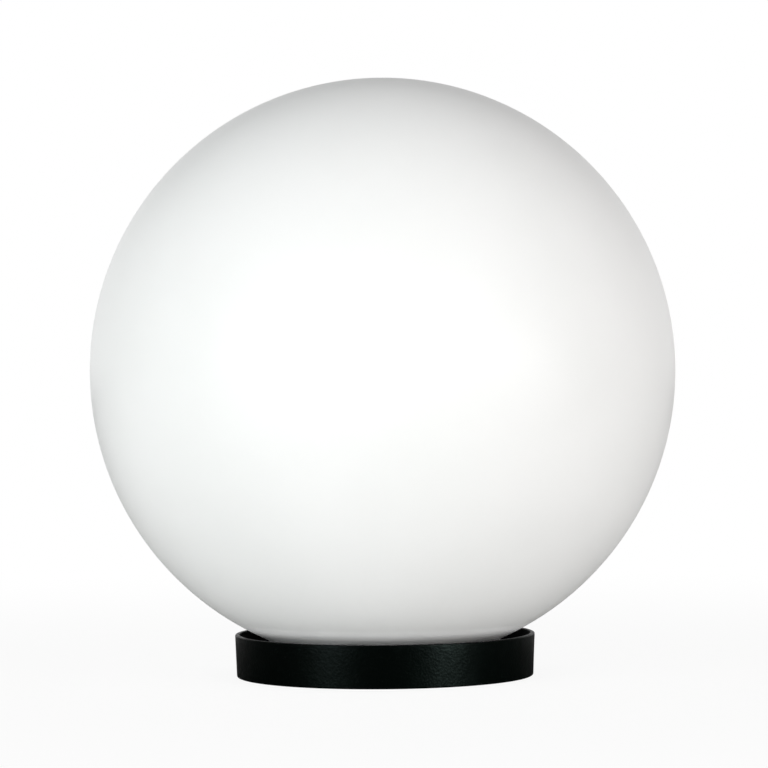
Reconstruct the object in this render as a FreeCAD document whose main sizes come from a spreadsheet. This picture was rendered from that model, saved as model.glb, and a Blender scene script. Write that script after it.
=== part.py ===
import FreeCAD, Part

import math
import os
import re

import Sketcher
from FreeCAD import Placement, Rotation, Vector

# Post top light: an opal globe whose neck locks by three lugs into a low black gallery. The gallery drops
# over a post end, and carries the lampholder, its leads and the lamp inside the globe.
# Millimetres, +Z up, origin at the centre of the gallery's foot.

document = FreeCAD.newDocument("PostTopLight")

# Driving dimensions, by the piece that carries them: name, value, what it is
SIZES = [
    ("globe_diameter", "300", "outside of the opal globe"),
    ("globe_wall", "2.5", "globe wall"),
    ("neck_diameter", "118", "outside of the globe's neck"),
    ("neck_wall", "3", "wall of the neck"),
    ("neck_length", "10", "neck, from its end to where it would meet the globe"),
    ("neck_blend", "3", "radius between neck and globe"),
    ("lug_reach", "4", "how far a lug stands out of the neck"),
    ("lug_height", "2.6", "lug, along the neck"),
    ("lug_lift", "0.8", "lug's underside above the neck's end"),
    ("lug_arc", "24", "degrees of the neck that a lug covers"),
    ("lug_count", "3", "number of lugs, ledges and entries"),
    ("gasket_thickness", "2", "ring under the neck"),
    ("gasket_margin", "0.4", "how far the ring shows inside the neck"),
    ("collar_height", "21.7", "gallery skirt, foot to rim"),
    ("skirt_wall", "2.7", "wall of the skirt"),
    ("skirt_draft", "0.8", "how much smaller the foot's radius is than the rim's"),
    ("rim_round", "0.6", "radius of the rim's edges"),
    ("foot_round", "0.8", "radius of the foot's outer edge"),
    ("gutter_width", "8.4", "open gutter between skirt and bayonet ring"),
    ("floor_recess", "4.2", "floor's underside above the foot"),
    ("floor_thickness", "2.5", "gallery floor"),
    ("ring_wall", "2.4", "wall of the bayonet ring"),
    ("ledge_thickness", "2.2", "ledge that holds a lug down"),
    ("bayonet_clearance", "0.5", "radial room round neck and lugs"),
    ("lug_gap", "0.3", "room between lug and ledge"),
    ("entry_slack", "4", "degrees by which an entry is wider than a lug"),
    ("lock_turn", "30", "degrees clockwise from the entries to locked"),
    ("stop_arc", "4", "degrees that a stop covers"),
    ("stop_gap", "0.5", "degrees between a lug and its stop"),
    ("drain_diameter", "5", "drain hole in the gutter"),
    ("post_diameter", "60", "post that the socket takes"),
    ("post_clearance", "0.4", "radial room round the post"),
    ("socket_wall", "3.5", "wall of the post socket"),
    ("socket_depth", "45", "foot to the stop that the post meets"),
    ("stop_thickness", "5", "top wall of the socket"),
    ("cable_hole_diameter", "24", "hole through the socket's top wall"),
    ("pilot_share", "0.85", "share of the socket's top wall that its screw holes go through"),
    ("mouth_chamfer", "1", "lead-in at the socket's mouth"),
    ("rib_thickness", "2.2", "rib under the floor"),
    ("rib_setback", "0.6", "rib's lower edge above the foot"),
    ("rib_count", "6", "number of ribs"),
    ("clamp_count", "3", "number of post clamp screws"),
    ("clamp_height", "28", "clamp screw axis above the foot"),
    ("clamp_boss_width", "16", "boss round a clamp screw"),
    ("clamp_boss_reach", "10", "boss beyond the socket wall"),
    ("clamp_screw_diameter", "6", "clamp screw thread"),
    ("clamp_screw_length", "15", "clamp screw under its head"),
    ("clamp_tip_gap", "0.3", "screw tip back from the socket's bore"),
    ("clamp_head_diameter", "10", "clamp screw head"),
    ("clamp_head_height", "6", "clamp screw head"),
    ("clamp_key_width", "5", "across flats of the key hole"),
    ("clamp_key_depth", "3", "key hole"),
    ("nut_width", "10", "captive nut across flats"),
    ("nut_thickness", "5", "captive nut"),
    ("nut_slack", "0.2", "room round the captive nut"),
    ("nut_cover", "1.6", "wall between nut and socket bore's outside"),
    ("thread_play", "0.1", "room between a screw and what it threads into"),
    ("hole_play", "0.25", "room round a screw in a clearance hole"),
    ("tray_overhang", "8.1", "gear tray beyond the socket wall"),
    ("tray_thickness", "1.2", "gear tray"),
    ("tray_screw_radius", "27", "circle of the tray's screws"),
    ("grommet_bore", "9", "cable hole through the grommet"),
    ("grommet_groove_diameter", "14", "grommet in the tray's hole"),
    ("grommet_play", "0.1", "room round the grommet in the tray's hole"),
    ("grommet_flange_diameter", "18", "grommet's flanges"),
    ("grommet_flange_height", "2.4", "one flange of the grommet"),
    ("bridge_width", "14", "lampholder bridge strip"),
    ("bridge_thickness", "1.5", "lampholder bridge strip"),
    ("bridge_span", "40", "bridge over its two legs"),
    ("bridge_rise", "14", "bridge top above the tray"),
    ("bridge_foot", "11", "foot of the bridge beyond its leg"),
    ("bridge_bend", "1.2", "inside radius of the bridge's bends"),
    ("tapping_diameter", "4", "self tapping screw"),
    ("tapping_head_diameter", "7.4", "its head"),
    ("tapping_head_height", "2.2", "its head"),
    ("tapping_length", "5.2", "under its head"),
    ("slot_width", "1", "driver slot"),
    ("slot_depth", "0.9", "driver slot"),
    ("holder_base_diameter", "44", "lampholder's foot"),
    ("holder_base_height", "15", "lampholder's foot"),
    ("holder_waist_diameter", "38.6", "lampholder above its foot"),
    ("holder_rim_diameter", "41", "lampholder's top bead"),
    ("holder_rim_height", "3", "lampholder's top bead"),
    ("holder_shoulder", "2", "slope between foot and waist"),
    ("holder_floor", "14", "lampholder's cavity floor above its foot"),
    ("holder_mouth_diameter", "32.8", "mouth of the cavity"),
    ("holder_mouth_depth", "2.6", "slope of the mouth"),
    ("holder_screw_spacing", "24", "lampholder fixing screws, apart"),
    ("holder_screw_depth", "8", "blind holes in the lampholder's foot"),
    ("shell_length", "23.5", "threaded shell"),
    ("shell_wall", "0.5", "threaded shell"),
    ("shell_flange", "3.5", "flange inside the shell's foot"),
    ("shell_play", "0.2", "room round the shell in its cavity"),
    ("terminal_angle", "45", "degrees from the leads' side to each terminal"),
    ("terminal_width", "7", "brass terminal"),
    ("terminal_height", "8.4", "brass terminal"),
    ("terminal_inner", "7.9", "terminal's inner end from the axis"),
    ("terminal_outer", "17.5", "terminal's outer end from the axis"),
    ("terminal_lift", "1.2", "terminal above the lampholder's underside"),
    ("terminal_play", "0.6", "room round a terminal in its pocket"),
    ("terminal_wire_depth", "7.2", "lead inside its terminal"),
    ("terminal_screw_height", "5.6", "screw axis above the terminal's underside"),
    ("terminal_screw_diameter", "3", "terminal screw"),
    ("terminal_head_diameter", "5", "terminal screw head"),
    ("terminal_head_height", "2", "terminal screw head"),
    ("terminal_head_gap", "0.4", "screw head off its terminal"),
    ("contact_thickness", "0.6", "contact strips"),
    ("contact_width", "4", "contact strips"),
    ("contact_slot_play", "0.2", "room round a strip in the lampholder"),
    ("contact_foot", "3", "foot of a strip on its terminal"),
    ("centre_leg_radius", "8.2", "centre contact's leg from the axis"),
    ("shell_leg_radius", "11.4", "shell contact's leg from the axis"),
    ("contact_pad", "2.5", "centre contact past the axis"),
    ("contact_rise_share", "0.75", "share of the leg radius where the tongue starts to rise"),
    ("lamp_seat", "17", "lamp's tip above the lampholder's underside"),
    ("lamp_tip_gap", "0.3", "between lamp tip and centre contact"),
    ("lamp_tip_diameter", "9", "tip contact"),
    ("lamp_tip_height", "1.2", "tip contact"),
    ("insulator_height", "3.3", "insulator above the tip"),
    ("insulator_top_diameter", "22", "insulator"),
    ("cap_diameter", "26.4", "lamp cap over its thread"),
    ("cap_wall", "0.5", "lamp cap"),
    ("cap_thread_length", "17.5", "threaded part of the cap"),
    ("cap_skirt_length", "3.5", "plain skirt of the cap"),
    ("cap_skirt_diameter", "28", "top of the skirt"),
    ("cap_play", "0.25", "radial room of the cap in the shell"),
    ("cap_bond", "0.1", "glue gap between cap and lamp body"),
    ("lamp_body_height", "36.5", "lamp body from cap to diffuser"),
    ("lamp_body_bulge", "70", "radius of the lamp body's flare"),
    ("bulb_diameter", "60", "lamp diffuser"),
    ("bulb_wall", "1.5", "lamp diffuser"),
    ("bulb_seat_drop", "16", "diffuser's edge below its centre"),
    ("board_thickness", "1.6", "led board"),
    ("board_gap", "1", "led board inside the diffuser"),
    ("chip_size", "3", "led chip"),
    ("chip_height", "0.8", "led chip"),
    ("chip_circle_diameter", "26", "circle of led chips"),
    ("chip_count", "8", "number of led chips"),
    ("pole_pitch", "9", "terminal block poles"),
    ("block_depth", "14", "terminal block along its wires"),
    ("block_height", "12", "terminal block"),
    ("block_tower_width", "7.6", "one pole's housing"),
    ("block_base_height", "2", "terminal block's base and tabs"),
    ("block_tab", "7", "tab at each end of the block"),
    ("block_tuck", "3", "how far the block tucks under the lampholder"),
    ("block_wire_height", "5.5", "wire axis above the tray"),
    ("tube_diameter", "5", "brass clamp tube"),
    ("tube_bore", "3", "brass clamp tube's bore"),
    ("tube_inset", "1", "tube end inside the block's face"),
    ("tube_play", "0.1", "room round a tube in the block"),
    ("pole_screw_diameter", "2.6", "clamp screw in a tube"),
    ("pole_screw_sink", "1.5", "screw head below the block's top"),
    ("pole_screw_inset", "3.6", "clamp screw from the block's face"),
    ("pole_screw_head_diameter", "3.6", "clamp screw head"),
    ("pole_screw_head_height", "1.6", "clamp screw head"),
    ("tab_screw_diameter", "3", "block fixing screw"),
    ("tab_screw_head_diameter", "5.6", "block fixing screw head"),
    ("tab_screw_head_height", "1.8", "block fixing screw head"),
    ("tab_screw_length", "5", "under its head"),
    ("earth_x", "25.5", "earth screw from the axis, across"),
    ("earth_y", "14", "earth screw from the axis, towards the leads"),
    ("tag_diameter", "7.8", "earth tag's ring"),
    ("tag_thickness", "0.8", "earth tag"),
    ("tag_barrel_diameter", "3.6", "earth tag's barrel"),
    ("tag_barrel_length", "5", "earth tag's barrel"),
    ("tag_neck", "0.8", "earth tag between ring and barrel"),
    ("lead_diameter", "2.2", "insulated leads"),
    ("lead_play", "0.1", "room round a lead in what clamps it"),
    ("lead_hole_play", "0.4", "room round a lead in the porcelain"),
    ("lead_past_screw", "2", "lead beyond the screw that clamps it"),
    ("earth_loop", "8", "earth lead beyond the terminal block"),
    ("lead_bend_share", "0.45", "share of the shorter run that a bend takes"),
    ("overrun", "2.7", "how far a cut runs past its piece, and an added feature into it"),
]

# Places and radii that follow from the sizes: name, formula, what it is
PLACES = [
    ("globe_radius", "globe_diameter / 2", "globe"),
    ("globe_inner", "globe_radius - globe_wall", "inside of the globe"),
    ("neck_radius", "neck_diameter / 2", "neck"),
    ("neck_inner", "neck_radius - neck_wall", "inside of the neck"),
    ("floor_top", "floor_recess + floor_thickness", "top of the gallery floor"),
    ("neck_end", "floor_top + gasket_thickness", "lower end of the neck"),
    ("neck_top", "neck_end + neck_length", "where neck and globe would meet"),
    ("globe_centre", "neck_top + sqrt(globe_radius ^ 2 - neck_radius ^ 2)", "globe's centre"),
    ("globe_top", "globe_centre + globe_radius", "top of the light"),
    ("inner_top", "globe_centre + globe_inner", "inside of the globe's top"),
    ("inner_neck_top", "globe_centre - sqrt(globe_inner ^ 2 - neck_inner ^ 2)", "neck meets the inside"),
    ("blend_x", "neck_radius + neck_blend", "blend's centre, across"),
    ("blend_share", "globe_radius / (globe_radius + neck_blend)", "blend's touch on the globe"),
    ("blend_drop", "sqrt((globe_radius + neck_blend) ^ 2 - blend_x ^ 2)", "blend's centre below the globe's"),
    ("blend_z", "globe_centre - blend_drop", "blend's centre, up"),
    ("lug_under", "neck_end + lug_lift", "lug's underside"),
    ("lug_over", "lug_under + lug_height", "lug's top"),
    ("lug_tip", "neck_radius + lug_reach", "lug's outside"),
    ("ledge_under", "lug_over + lug_gap", "ledge's underside"),
    ("ledge_over", "ledge_under + ledge_thickness", "ledge's top"),
    ("ledge_inner", "neck_radius + bayonet_clearance", "ledge's inner edge"),
    ("ring_inner", "lug_tip + bayonet_clearance", "inside of the bayonet ring"),
    ("ring_outer", "ring_inner + ring_wall", "outside of the bayonet ring"),
    ("skirt_inner", "ring_outer + gutter_width", "inside of the skirt"),
    ("rim_radius", "skirt_inner + skirt_wall", "outside of the rim"),
    ("foot_radius", "rim_radius - skirt_draft", "outside of the foot"),
    ("foot_inner", "foot_radius - skirt_wall", "inside of the foot"),
    ("gutter_middle", "(ring_outer + skirt_inner) / 2", "middle of the gutter"),
    ("entry_arc", "lug_arc + entry_slack", "entry for a lug"),
    ("stop_step", "lug_arc / 2 + stop_gap + stop_arc / 2", "angle from a lug's middle to its stop's"),
    ("lock_stop_turn", "0 - lock_turn - stop_step", "angle of the stop of a locked lug"),
    ("bore_radius", "post_diameter / 2 + post_clearance", "post socket's bore"),
    ("socket_outer", "bore_radius + socket_wall", "outside of the post socket"),
    ("socket_top", "socket_depth + stop_thickness", "top of the post socket"),
    ("clamp_boss_tip", "socket_outer + clamp_boss_reach", "outer face of a clamp boss"),
    ("clamp_hole_radius", "clamp_screw_diameter / 2 + hole_play", "hole for a clamp screw"),
    ("clamp_tip", "bore_radius + clamp_tip_gap", "clamp screw's tip from the axis"),
    ("clamp_head", "clamp_tip + clamp_screw_length", "clamp screw's head from the axis"),
    ("nut_inner", "socket_outer + nut_cover", "captive nut's inner face from the axis"),
    ("nut_reach", "nut_width / sqrt(3)", "captive nut's corner from its axis"),
    ("tray_radius", "socket_outer + tray_overhang", "gear tray"),
    ("tray_top", "socket_top + tray_thickness", "top of the gear tray"),
    ("tapping_radius", "tapping_diameter / 2", "self tapping screw"),
    ("foot_top", "tray_top + bridge_thickness", "top of the bridge's feet"),
    ("bridge_top", "tray_top + bridge_rise", "top of the bridge"),
    ("bridge_half", "bridge_span / 2", "outside of a bridge leg from the axis"),
    ("holder_base_radius", "holder_base_diameter / 2", "lampholder's foot"),
    ("cap_radius", "cap_diameter / 2", "lamp cap"),
    ("shell_inner", "cap_radius + cap_play", "inside of the shell"),
    ("shell_outer", "shell_inner + shell_wall", "outside of the shell"),
    ("cavity_radius", "shell_outer + shell_play", "lampholder's cavity"),
    ("cavity_floor", "bridge_top + holder_floor", "floor of that cavity"),
    ("shell_top", "cavity_floor + shell_length", "top of the shell"),
    ("holder_top", "shell_top + shell_play + holder_mouth_depth", "top of the lampholder"),
    ("terminal_under", "bridge_top + terminal_lift", "terminal's underside"),
    ("terminal_top", "terminal_under + terminal_height", "terminal's top"),
    ("pocket_top", "terminal_top + terminal_play", "top of a terminal pocket"),
    ("pocket_inner", "terminal_inner - terminal_play", "inner end of a terminal pocket"),
    ("pocket_half", "terminal_width / 2 + terminal_play", "half a terminal pocket's width"),
    ("terminal_wire", "pole_pitch / sin(terminal_angle)", "lead in its terminal, from the axis"),
    ("terminal_wire_y", "pole_pitch / tan(terminal_angle)", "the same, towards the leads"),
    ("terminal_head", "terminal_outer + terminal_head_gap", "terminal screw's head from the axis"),
    ("lamp_low", "bridge_top + lamp_seat", "lamp's tip"),
    ("contact_high", "lamp_low - lamp_tip_gap", "top of the centre contact"),
    ("insulator_low", "lamp_low + lamp_tip_height", "insulator's underside"),
    ("cap_low", "insulator_low + insulator_height", "cap's lower edge"),
    ("cap_thread_top", "cap_low + cap_thread_length", "top of the cap's thread"),
    ("cap_top", "cap_thread_top + cap_skirt_length", "cap's upper edge"),
    ("cap_inner", "cap_radius - cap_wall", "inside of the cap"),
    ("cap_foot", "insulator_top_diameter / 2", "cap's lower edge"),
    ("cap_shoulder", "cap_low + cap_radius - cap_foot", "where the cap reaches its width"),
    ("skirt_top_radius", "cap_skirt_diameter / 2", "top of the cap's skirt"),
    ("bulb_radius", "bulb_diameter / 2", "diffuser"),
    ("bulb_low", "cap_top + lamp_body_height", "diffuser's edge"),
    ("bulb_centre", "bulb_low + bulb_seat_drop", "diffuser's centre"),
    ("bulb_edge", "sqrt(bulb_radius ^ 2 - bulb_seat_drop ^ 2)", "diffuser's radius at its edge"),
    ("bulb_inner", "bulb_radius - bulb_wall", "inside of the diffuser"),
    ("bulb_inner_edge", "sqrt(bulb_inner ^ 2 - bulb_seat_drop ^ 2)", "inside of the diffuser's edge"),
    ("board_radius", "bulb_inner_edge - board_gap", "led board"),
    ("board_top", "bulb_low + board_thickness", "top of the led board"),
    ("block_near", "holder_base_radius - block_tuck", "near face of the terminal block"),
    ("block_far", "block_near + block_depth", "far face of the terminal block"),
    ("block_middle", "block_near + block_depth / 2", "middle of the terminal block"),
    ("block_half", "pole_pitch + block_tower_width / 2", "half the block's housing"),
    ("block_end", "block_half + block_tab", "end of the block's tab"),
    ("tab_middle", "block_half + block_tab / 2", "tab's screw from the middle"),
    ("block_top", "tray_top + block_height", "top of the terminal block"),
    ("wire_level", "tray_top + block_wire_height", "wire axis in the terminal block"),
    ("pole_seat", "block_top - pole_screw_sink - pole_screw_head_height", "under a pole screw's head"),
    ("tag_level", "tray_top + tag_thickness", "top of the earth tag"),
    ("barrel_start", "earth_y + tag_diameter / 2 + tag_neck", "barrel of the earth tag"),
    ("tag_axis", "tray_top + tag_barrel_diameter / 2", "barrel's axis"),
]

OVERRUN = "overrun"
SHEETS = {}  # which sheet holds each name

# Where the repeated pieces stand
DOWNWARD = Rotation(Vector(1, 0, 0), 180)
BRIDGE_ANGLES = [0, 180]
TRAY_ANGLES = [240, 300]
HOLDER_SCREWS = ["holder_screw_spacing / 2", "0 - holder_screw_spacing / 2"]
TABS = ["tab_middle", "0 - tab_middle"]
POLES = ["0 - pole_pitch", "0", "pole_pitch"]
POLE_NEAR, POLE_FAR = "block_near + pole_screw_inset", "block_far - pole_screw_inset"
POLE_SCREWS = [(x, y) for x in POLES for y in (POLE_NEAR, POLE_FAR)]
TERMINAL_SIDES = {"neutral": "90 - terminal_angle", "live": "90 + terminal_angle"}
CONTACT_LEGS = {"neutral": "shell_leg_radius", "live": "centre_leg_radius"}


def write_sheet(label, rows):
    """Fill a sheet with one named cell a row. A formula starts with an equals sign."""
    sheet = document.addObject("Spreadsheet::Sheet", label)
    for row, (alias, content, note) in enumerate(rows, start=1):
        sheet.set(f"A{row}", note)
        sheet.set(f"B{row}", content)
        sheet.setAlias(f"B{row}", alias)
        SHEETS[alias] = label
    return sheet


def cells(words):
    """Sheet names in a sum, such as 'rim_radius - rim_round', as an expression on their cells."""
    return re.sub(r"[a-z_]+", lambda found: _cell(found.group()), words)


def _cell(word):
    return f"{SHEETS[word]}.{word}" if word in SHEETS else word


def value(words):
    """The number that a sum of sheet names stands for now."""
    return float(document.getObject("Sizes").evalExpression(cells(words)))


def bind(thing, **properties):
    """Bind properties to sums of sheet names. A double underscore stands for a dot."""
    for name, words in properties.items():
        thing.setExpression(name.replace("__", "."), cells(words))
    return thing


# Sketches: every corner and centre is bound to the sheets


def origin_feature(body, role):
    return next(f for f in body.Origin.OriginFeatures if f.Role == role)


def new_body(label):
    body = document.addObject("PartDesign::Body", label)
    body.Label = label
    return body


def new_sketch(body, name, plane="XZ_Plane", lift="0", turn="0"):
    """A sketch on one of the body's own planes, moved along its normal and turned about the Z axis."""
    sketch = body.newObject("Sketcher::SketchObject", name)
    sketch.AttachmentSupport = (origin_feature(body, plane), [""])
    sketch.MapMode = "FlatFace"
    upright = Vector(0, 0, 1) if plane == "XY_Plane" else Vector(0, 1, 0)
    sketch.AttachmentOffset = Placement(Vector(), Rotation(upright, 0))
    bind(sketch, AttachmentOffset__Base__z=lift, AttachmentOffset__Rotation__Angle=turn)
    return sketch


def pin(sketch, geometry, point, words):
    """Bind one point of a sketch to its two coordinates."""
    for kind, coordinate in zip(("DistanceX", "DistanceY"), words):
        at = sketch.addConstraint(Sketcher.Constraint(kind, -1, 1, geometry, point, value(coordinate)))
        sketch.setExpression(f"Constraints[{at}]", cells(coordinate))


def set_radius(sketch, geometry, words):
    at = sketch.addConstraint(Sketcher.Constraint("Radius", geometry, value(words)))
    sketch.setExpression(f"Constraints[{at}]", cells(words))


def arc_between(start, end, radius, side):
    """The shorter arc from start to end, with its centre to the left or right of the way there."""
    chord = end - start
    left = Vector(-chord.y, chord.x, 0)
    left.normalize()
    reach = math.sqrt(max(radius**2 - (chord.Length / 2) ** 2, 0))
    centre = (start + end) / 2 + left * (reach if side == "left" else -reach)
    first, last = (start, end) if side == "left" else (end, start)
    angles = [math.atan2(p.y - centre.y, p.x - centre.x) for p in (first, last)]
    return Part.ArcOfCircle(Part.Circle(centre, Vector(0, 0, 1), radius), *angles)


def draw_outline(sketch, corners):
    """A closed outline. A corner is (x, y), or (x, y, side, radius) where an arc leaves it."""
    places = [Vector(value(c[0]), value(c[1]), 0) for c in corners]
    starts, ends = [], []
    for index, corner in enumerate(corners):
        start, end = places[index], places[(index + 1) % len(places)]
        if len(corner) == 2:
            side = sketch.addGeometry(Part.LineSegment(start, end), False)
            forward = True
        else:
            side = sketch.addGeometry(arc_between(start, end, value(corner[3]), corner[2]), False)
            forward = corner[2] == "left"
        starts.append((side, 1 if forward else 2))
        ends.append((side, 2 if forward else 1))
    for index, end in enumerate(ends):
        sketch.addConstraint(Sketcher.Constraint("Coincident", *end, *starts[(index + 1) % len(starts)]))
    for corner, start in zip(corners, starts):
        pin(sketch, *start, corner[:2])
        if len(corner) > 2:
            set_radius(sketch, start[0], corner[3])
    return sketch


def draw_rectangle(sketch, left, right, low, high):
    return draw_outline(sketch, [(left, low), (right, low), (right, high), (left, high)])


def draw_circles(sketch, circles):
    """Circles, each given as (x, y, radius)."""
    for x, y, radius in circles:
        centre = Vector(value(x), value(y), 0)
        circle = sketch.addGeometry(Part.Circle(centre, Vector(0, 0, 1), value(radius)), False)
        pin(sketch, circle, 3, (x, y))
        set_radius(sketch, circle, radius)
    return sketch


# Features of a body


def settle(body, feature, adds=None):
    """Recompute, and stop if a feature that should add or cut has left the volume as it was."""
    before = body.Tip.BaseFeature if hasattr(body.Tip, "BaseFeature") else None
    document.recompute()
    if adds is not None and before is not None:
        change = feature.Shape.Volume - before.Shape.Volume
        if (change > 0) != adds or change == 0:
            raise ValueError(f"{body.Label}: {feature.Name} changes the volume by {change:.3f}")
    return feature


def lathe(body, sketch, arc=None, cut=False):
    """Turn an outline about the sketch's upright axis: all round, or through an arc about the sketch."""
    kind = "PartDesign::Groove" if cut else "PartDesign::Revolution"
    feature = body.newObject(kind, sketch.Name + "_turned")
    feature.Profile = sketch
    feature.ReferenceAxis = (sketch, ["V_Axis"])
    if arc is None:
        feature.Angle = 360
    else:
        feature.Midplane = True
        bind(feature, Angle=arc)
    return settle(body, feature, adds=not cut)


def extrude(body, sketch, length, cut=False, reverse=False, middle=False):
    """Push an outline along its normal, or against it, to add or to cut."""
    kind = "PartDesign::Pocket" if cut else "PartDesign::Pad"
    feature = body.newObject(kind, sketch.Name + ("_cut" if cut else "_raised"))
    feature.Profile = sketch
    feature.Midplane = middle
    feature.Reversed = reverse != cut  # a pocket goes against its sketch unless it is reversed
    bind(feature, Length=length)
    return settle(body, feature, adds=not cut)


def repeat_round(body, features, count):
    """Repeat features about the Z axis."""
    pattern = body.newObject("PartDesign::PolarPattern", features[0].Name + "_ring")
    pattern.Originals = features
    pattern.Axis = (origin_feature(body, "Z_Axis"), [""])
    pattern.Angle = 360
    bind(pattern, Occurrences=count)
    body.Tip = pattern
    return settle(body, pattern)


# Primitives and booleans


def place(thing, at=("0", "0", "0"), rotation=Rotation()):
    thing.Placement = Placement(Vector(), rotation)
    return bind(thing, Placement__Base__x=at[0], Placement__Base__y=at[1], Placement__Base__z=at[2])


def block(name, low, high):
    """A box between two corners."""
    box = document.addObject("Part::Box", name)
    sides = [f"({b}) - ({a})" for a, b in zip(low, high)]
    bind(box, Length=sides[0], Width=sides[1], Height=sides[2])
    return place(box, low)


def rod(name, radius, length, at=("0", "0", "0"), rotation=Rotation()):
    """A cylinder whose axis starts at a place."""
    cylinder = document.addObject("Part::Cylinder", name)
    bind(cylinder, Radius=radius, Height=length)
    return place(cylinder, at, rotation)


def fused(label, pieces):
    union = document.addObject("Part::MultiFuse", label)
    union.Shapes = pieces
    return union


def less(label, base, tools):
    """A piece with tools cut out of it."""
    cut = document.addObject("Part::Cut", label)
    cut.Base = base
    cut.Tool = tools[0] if len(tools) == 1 else fused(label + "_tools", tools)
    return cut


def copies(label, master, placements):
    """One node of separate solids: the same piece at each place, with its own rotation."""
    links = []
    for number, (at, rotation) in enumerate(placements, start=1):
        link = document.addObject("App::Link", f"{label}_{number}")
        link.LinkedObject = master
        links.append(place(link, at, rotation))
    group = document.addObject("Part::Compound", label)
    group.Links = links
    return group


UPRIGHT = Rotation()
OUTWARD = Rotation(Vector(0, 1, 0), 90)  # turns the Z axis to the X axis
AWAY = Rotation(Vector(1, 0, 0), -90)  # turns the Z axis to the Y axis


def round_z(degrees):
    return Rotation(Vector(0, 0, 1), degrees)


def on_circle(radius, height, degrees, rotation=OUTWARD):
    """A place on a circle about the Z axis, and the rotation of what points outward there."""
    at = (f"({radius}) * cos({degrees})", f"({radius}) * sin({degrees})", height)
    return at, round_z(degrees) * rotation


def even_angles(count):
    total = round(value(count))
    return [360 * number / total for number in range(total)]


# The globe and its gasket


def make_globe():
    """Opal globe with an open neck, and lugs that drop through the entries and turn under the ledges."""
    body = new_body("globe")
    wall = new_sketch(body, "globe_wall_outline")
    draw_outline(
        wall,
        [
            ("neck_inner", "neck_end"),
            ("neck_radius", "neck_end"),
            ("neck_radius", "blend_z", "right", "neck_blend"),
            ("blend_x * blend_share", "globe_centre - blend_drop * blend_share", "left", "globe_radius"),
            ("0", "globe_top"),
            ("0", "inner_top", "right", "globe_inner"),
            ("neck_inner", "inner_neck_top"),
        ],
    )
    lathe(body, wall)
    lug = new_sketch(body, "lug_outline")
    draw_rectangle(lug, "(neck_inner + neck_radius) / 2", "lug_tip", "lug_under", "lug_over")
    repeat_round(body, [lathe(body, lug, arc="lug_arc")], "lug_count")
    return body


def make_neck_gasket():
    """Flat rubber ring stuck on the neck's end, which seals it on the gallery floor."""
    body = new_body("neck_gasket")
    ring = new_sketch(body, "gasket_outline")
    draw_rectangle(ring, "neck_inner - gasket_margin", "neck_radius", "floor_top", "neck_end")
    lathe(body, ring)
    return body


# The gallery: one moulding with skirt, floor, bayonet ring and post socket


def make_gallery():
    body = new_body("gallery_base")
    add_skirt(body)
    add_socket(body)
    add_bayonet(body)
    add_ribs(body)
    add_clamp_bosses(body)
    add_drains(body)
    add_pilot_holes(body)
    return body


def add_skirt(body):
    """Outer skirt with its draft and rounded edges, and the floor inside it."""
    outline = new_sketch(body, "skirt_outline")
    draw_outline(
        outline,
        [
            ("foot_inner", "0"),
            ("foot_radius - foot_round", "0", "left", "foot_round"),
            ("foot_radius", "foot_round"),
            ("rim_radius", "collar_height - rim_round", "left", "rim_round"),
            ("rim_radius - rim_round", "collar_height"),
            ("skirt_inner + rim_round", "collar_height", "left", "rim_round"),
            ("skirt_inner", "collar_height - rim_round"),
            ("skirt_inner", "floor_top"),
            ("bore_radius", "floor_top"),
            ("bore_radius", "floor_recess"),
            ("foot_inner", "floor_recess"),
        ],
    )
    lathe(body, outline)


def add_socket(body):
    """Tube that drops over the post, closed by the wall that the post's end meets."""
    outline = new_sketch(body, "socket_outline")
    draw_outline(
        outline,
        [
            ("bore_radius + mouth_chamfer", "0"),
            ("socket_outer", "0"),
            ("socket_outer", "socket_top"),
            ("cable_hole_diameter / 2", "socket_top"),
            ("cable_hole_diameter / 2", "socket_depth"),
            ("bore_radius", "socket_depth"),
            ("bore_radius", "mouth_chamfer"),
        ],
    )
    lathe(body, outline)


def add_bayonet(body):
    """Ring on the floor whose inward ledge holds the lugs, open at three entries, with a stop each way."""
    ring = new_sketch(body, "ring_outline")
    draw_outline(
        ring,
        [
            ("ring_inner", "floor_recess + floor_thickness / 2"),
            ("ring_outer", "floor_recess + floor_thickness / 2"),
            ("ring_outer", "ledge_over"),
            ("ledge_inner", "ledge_over"),
            ("ledge_inner", "ledge_under"),
            ("ring_inner", "ledge_under"),
        ],
    )
    lathe(body, ring)
    entry = new_sketch(body, "entry_outline")
    draw_rectangle(
        entry, f"ledge_inner - {OVERRUN}", "ring_inner", "ledge_under - lug_gap", f"ledge_over + {OVERRUN}"
    )
    repeat_round(body, [lathe(body, entry, arc="entry_arc", cut=True)], "lug_count")
    stops = []
    for name, turn in (("lock_stop", "lock_stop_turn"), ("open_stop", "stop_step")):
        stop = new_sketch(body, name + "_outline", turn=turn)
        draw_rectangle(
            stop, "ledge_inner", "(ring_inner + ring_outer) / 2", "floor_top - floor_thickness / 2", "ledge_over"
        )
        stops.append(lathe(body, stop, arc="stop_arc"))
    repeat_round(body, stops, "lug_count")


def add_ribs(body):
    """Ribs under the floor, from the socket to the skirt."""
    rib = new_sketch(body, "rib_outline", "XY_Plane", lift="rib_setback")
    draw_rectangle(
        rib,
        "(bore_radius + socket_outer) / 2",
        "(foot_inner + foot_radius) / 2",
        "0 - rib_thickness / 2",
        "rib_thickness / 2",
    )
    raised = extrude(body, rib, "floor_recess + floor_thickness / 2 - rib_setback")
    repeat_round(body, [raised], "rib_count")


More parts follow.
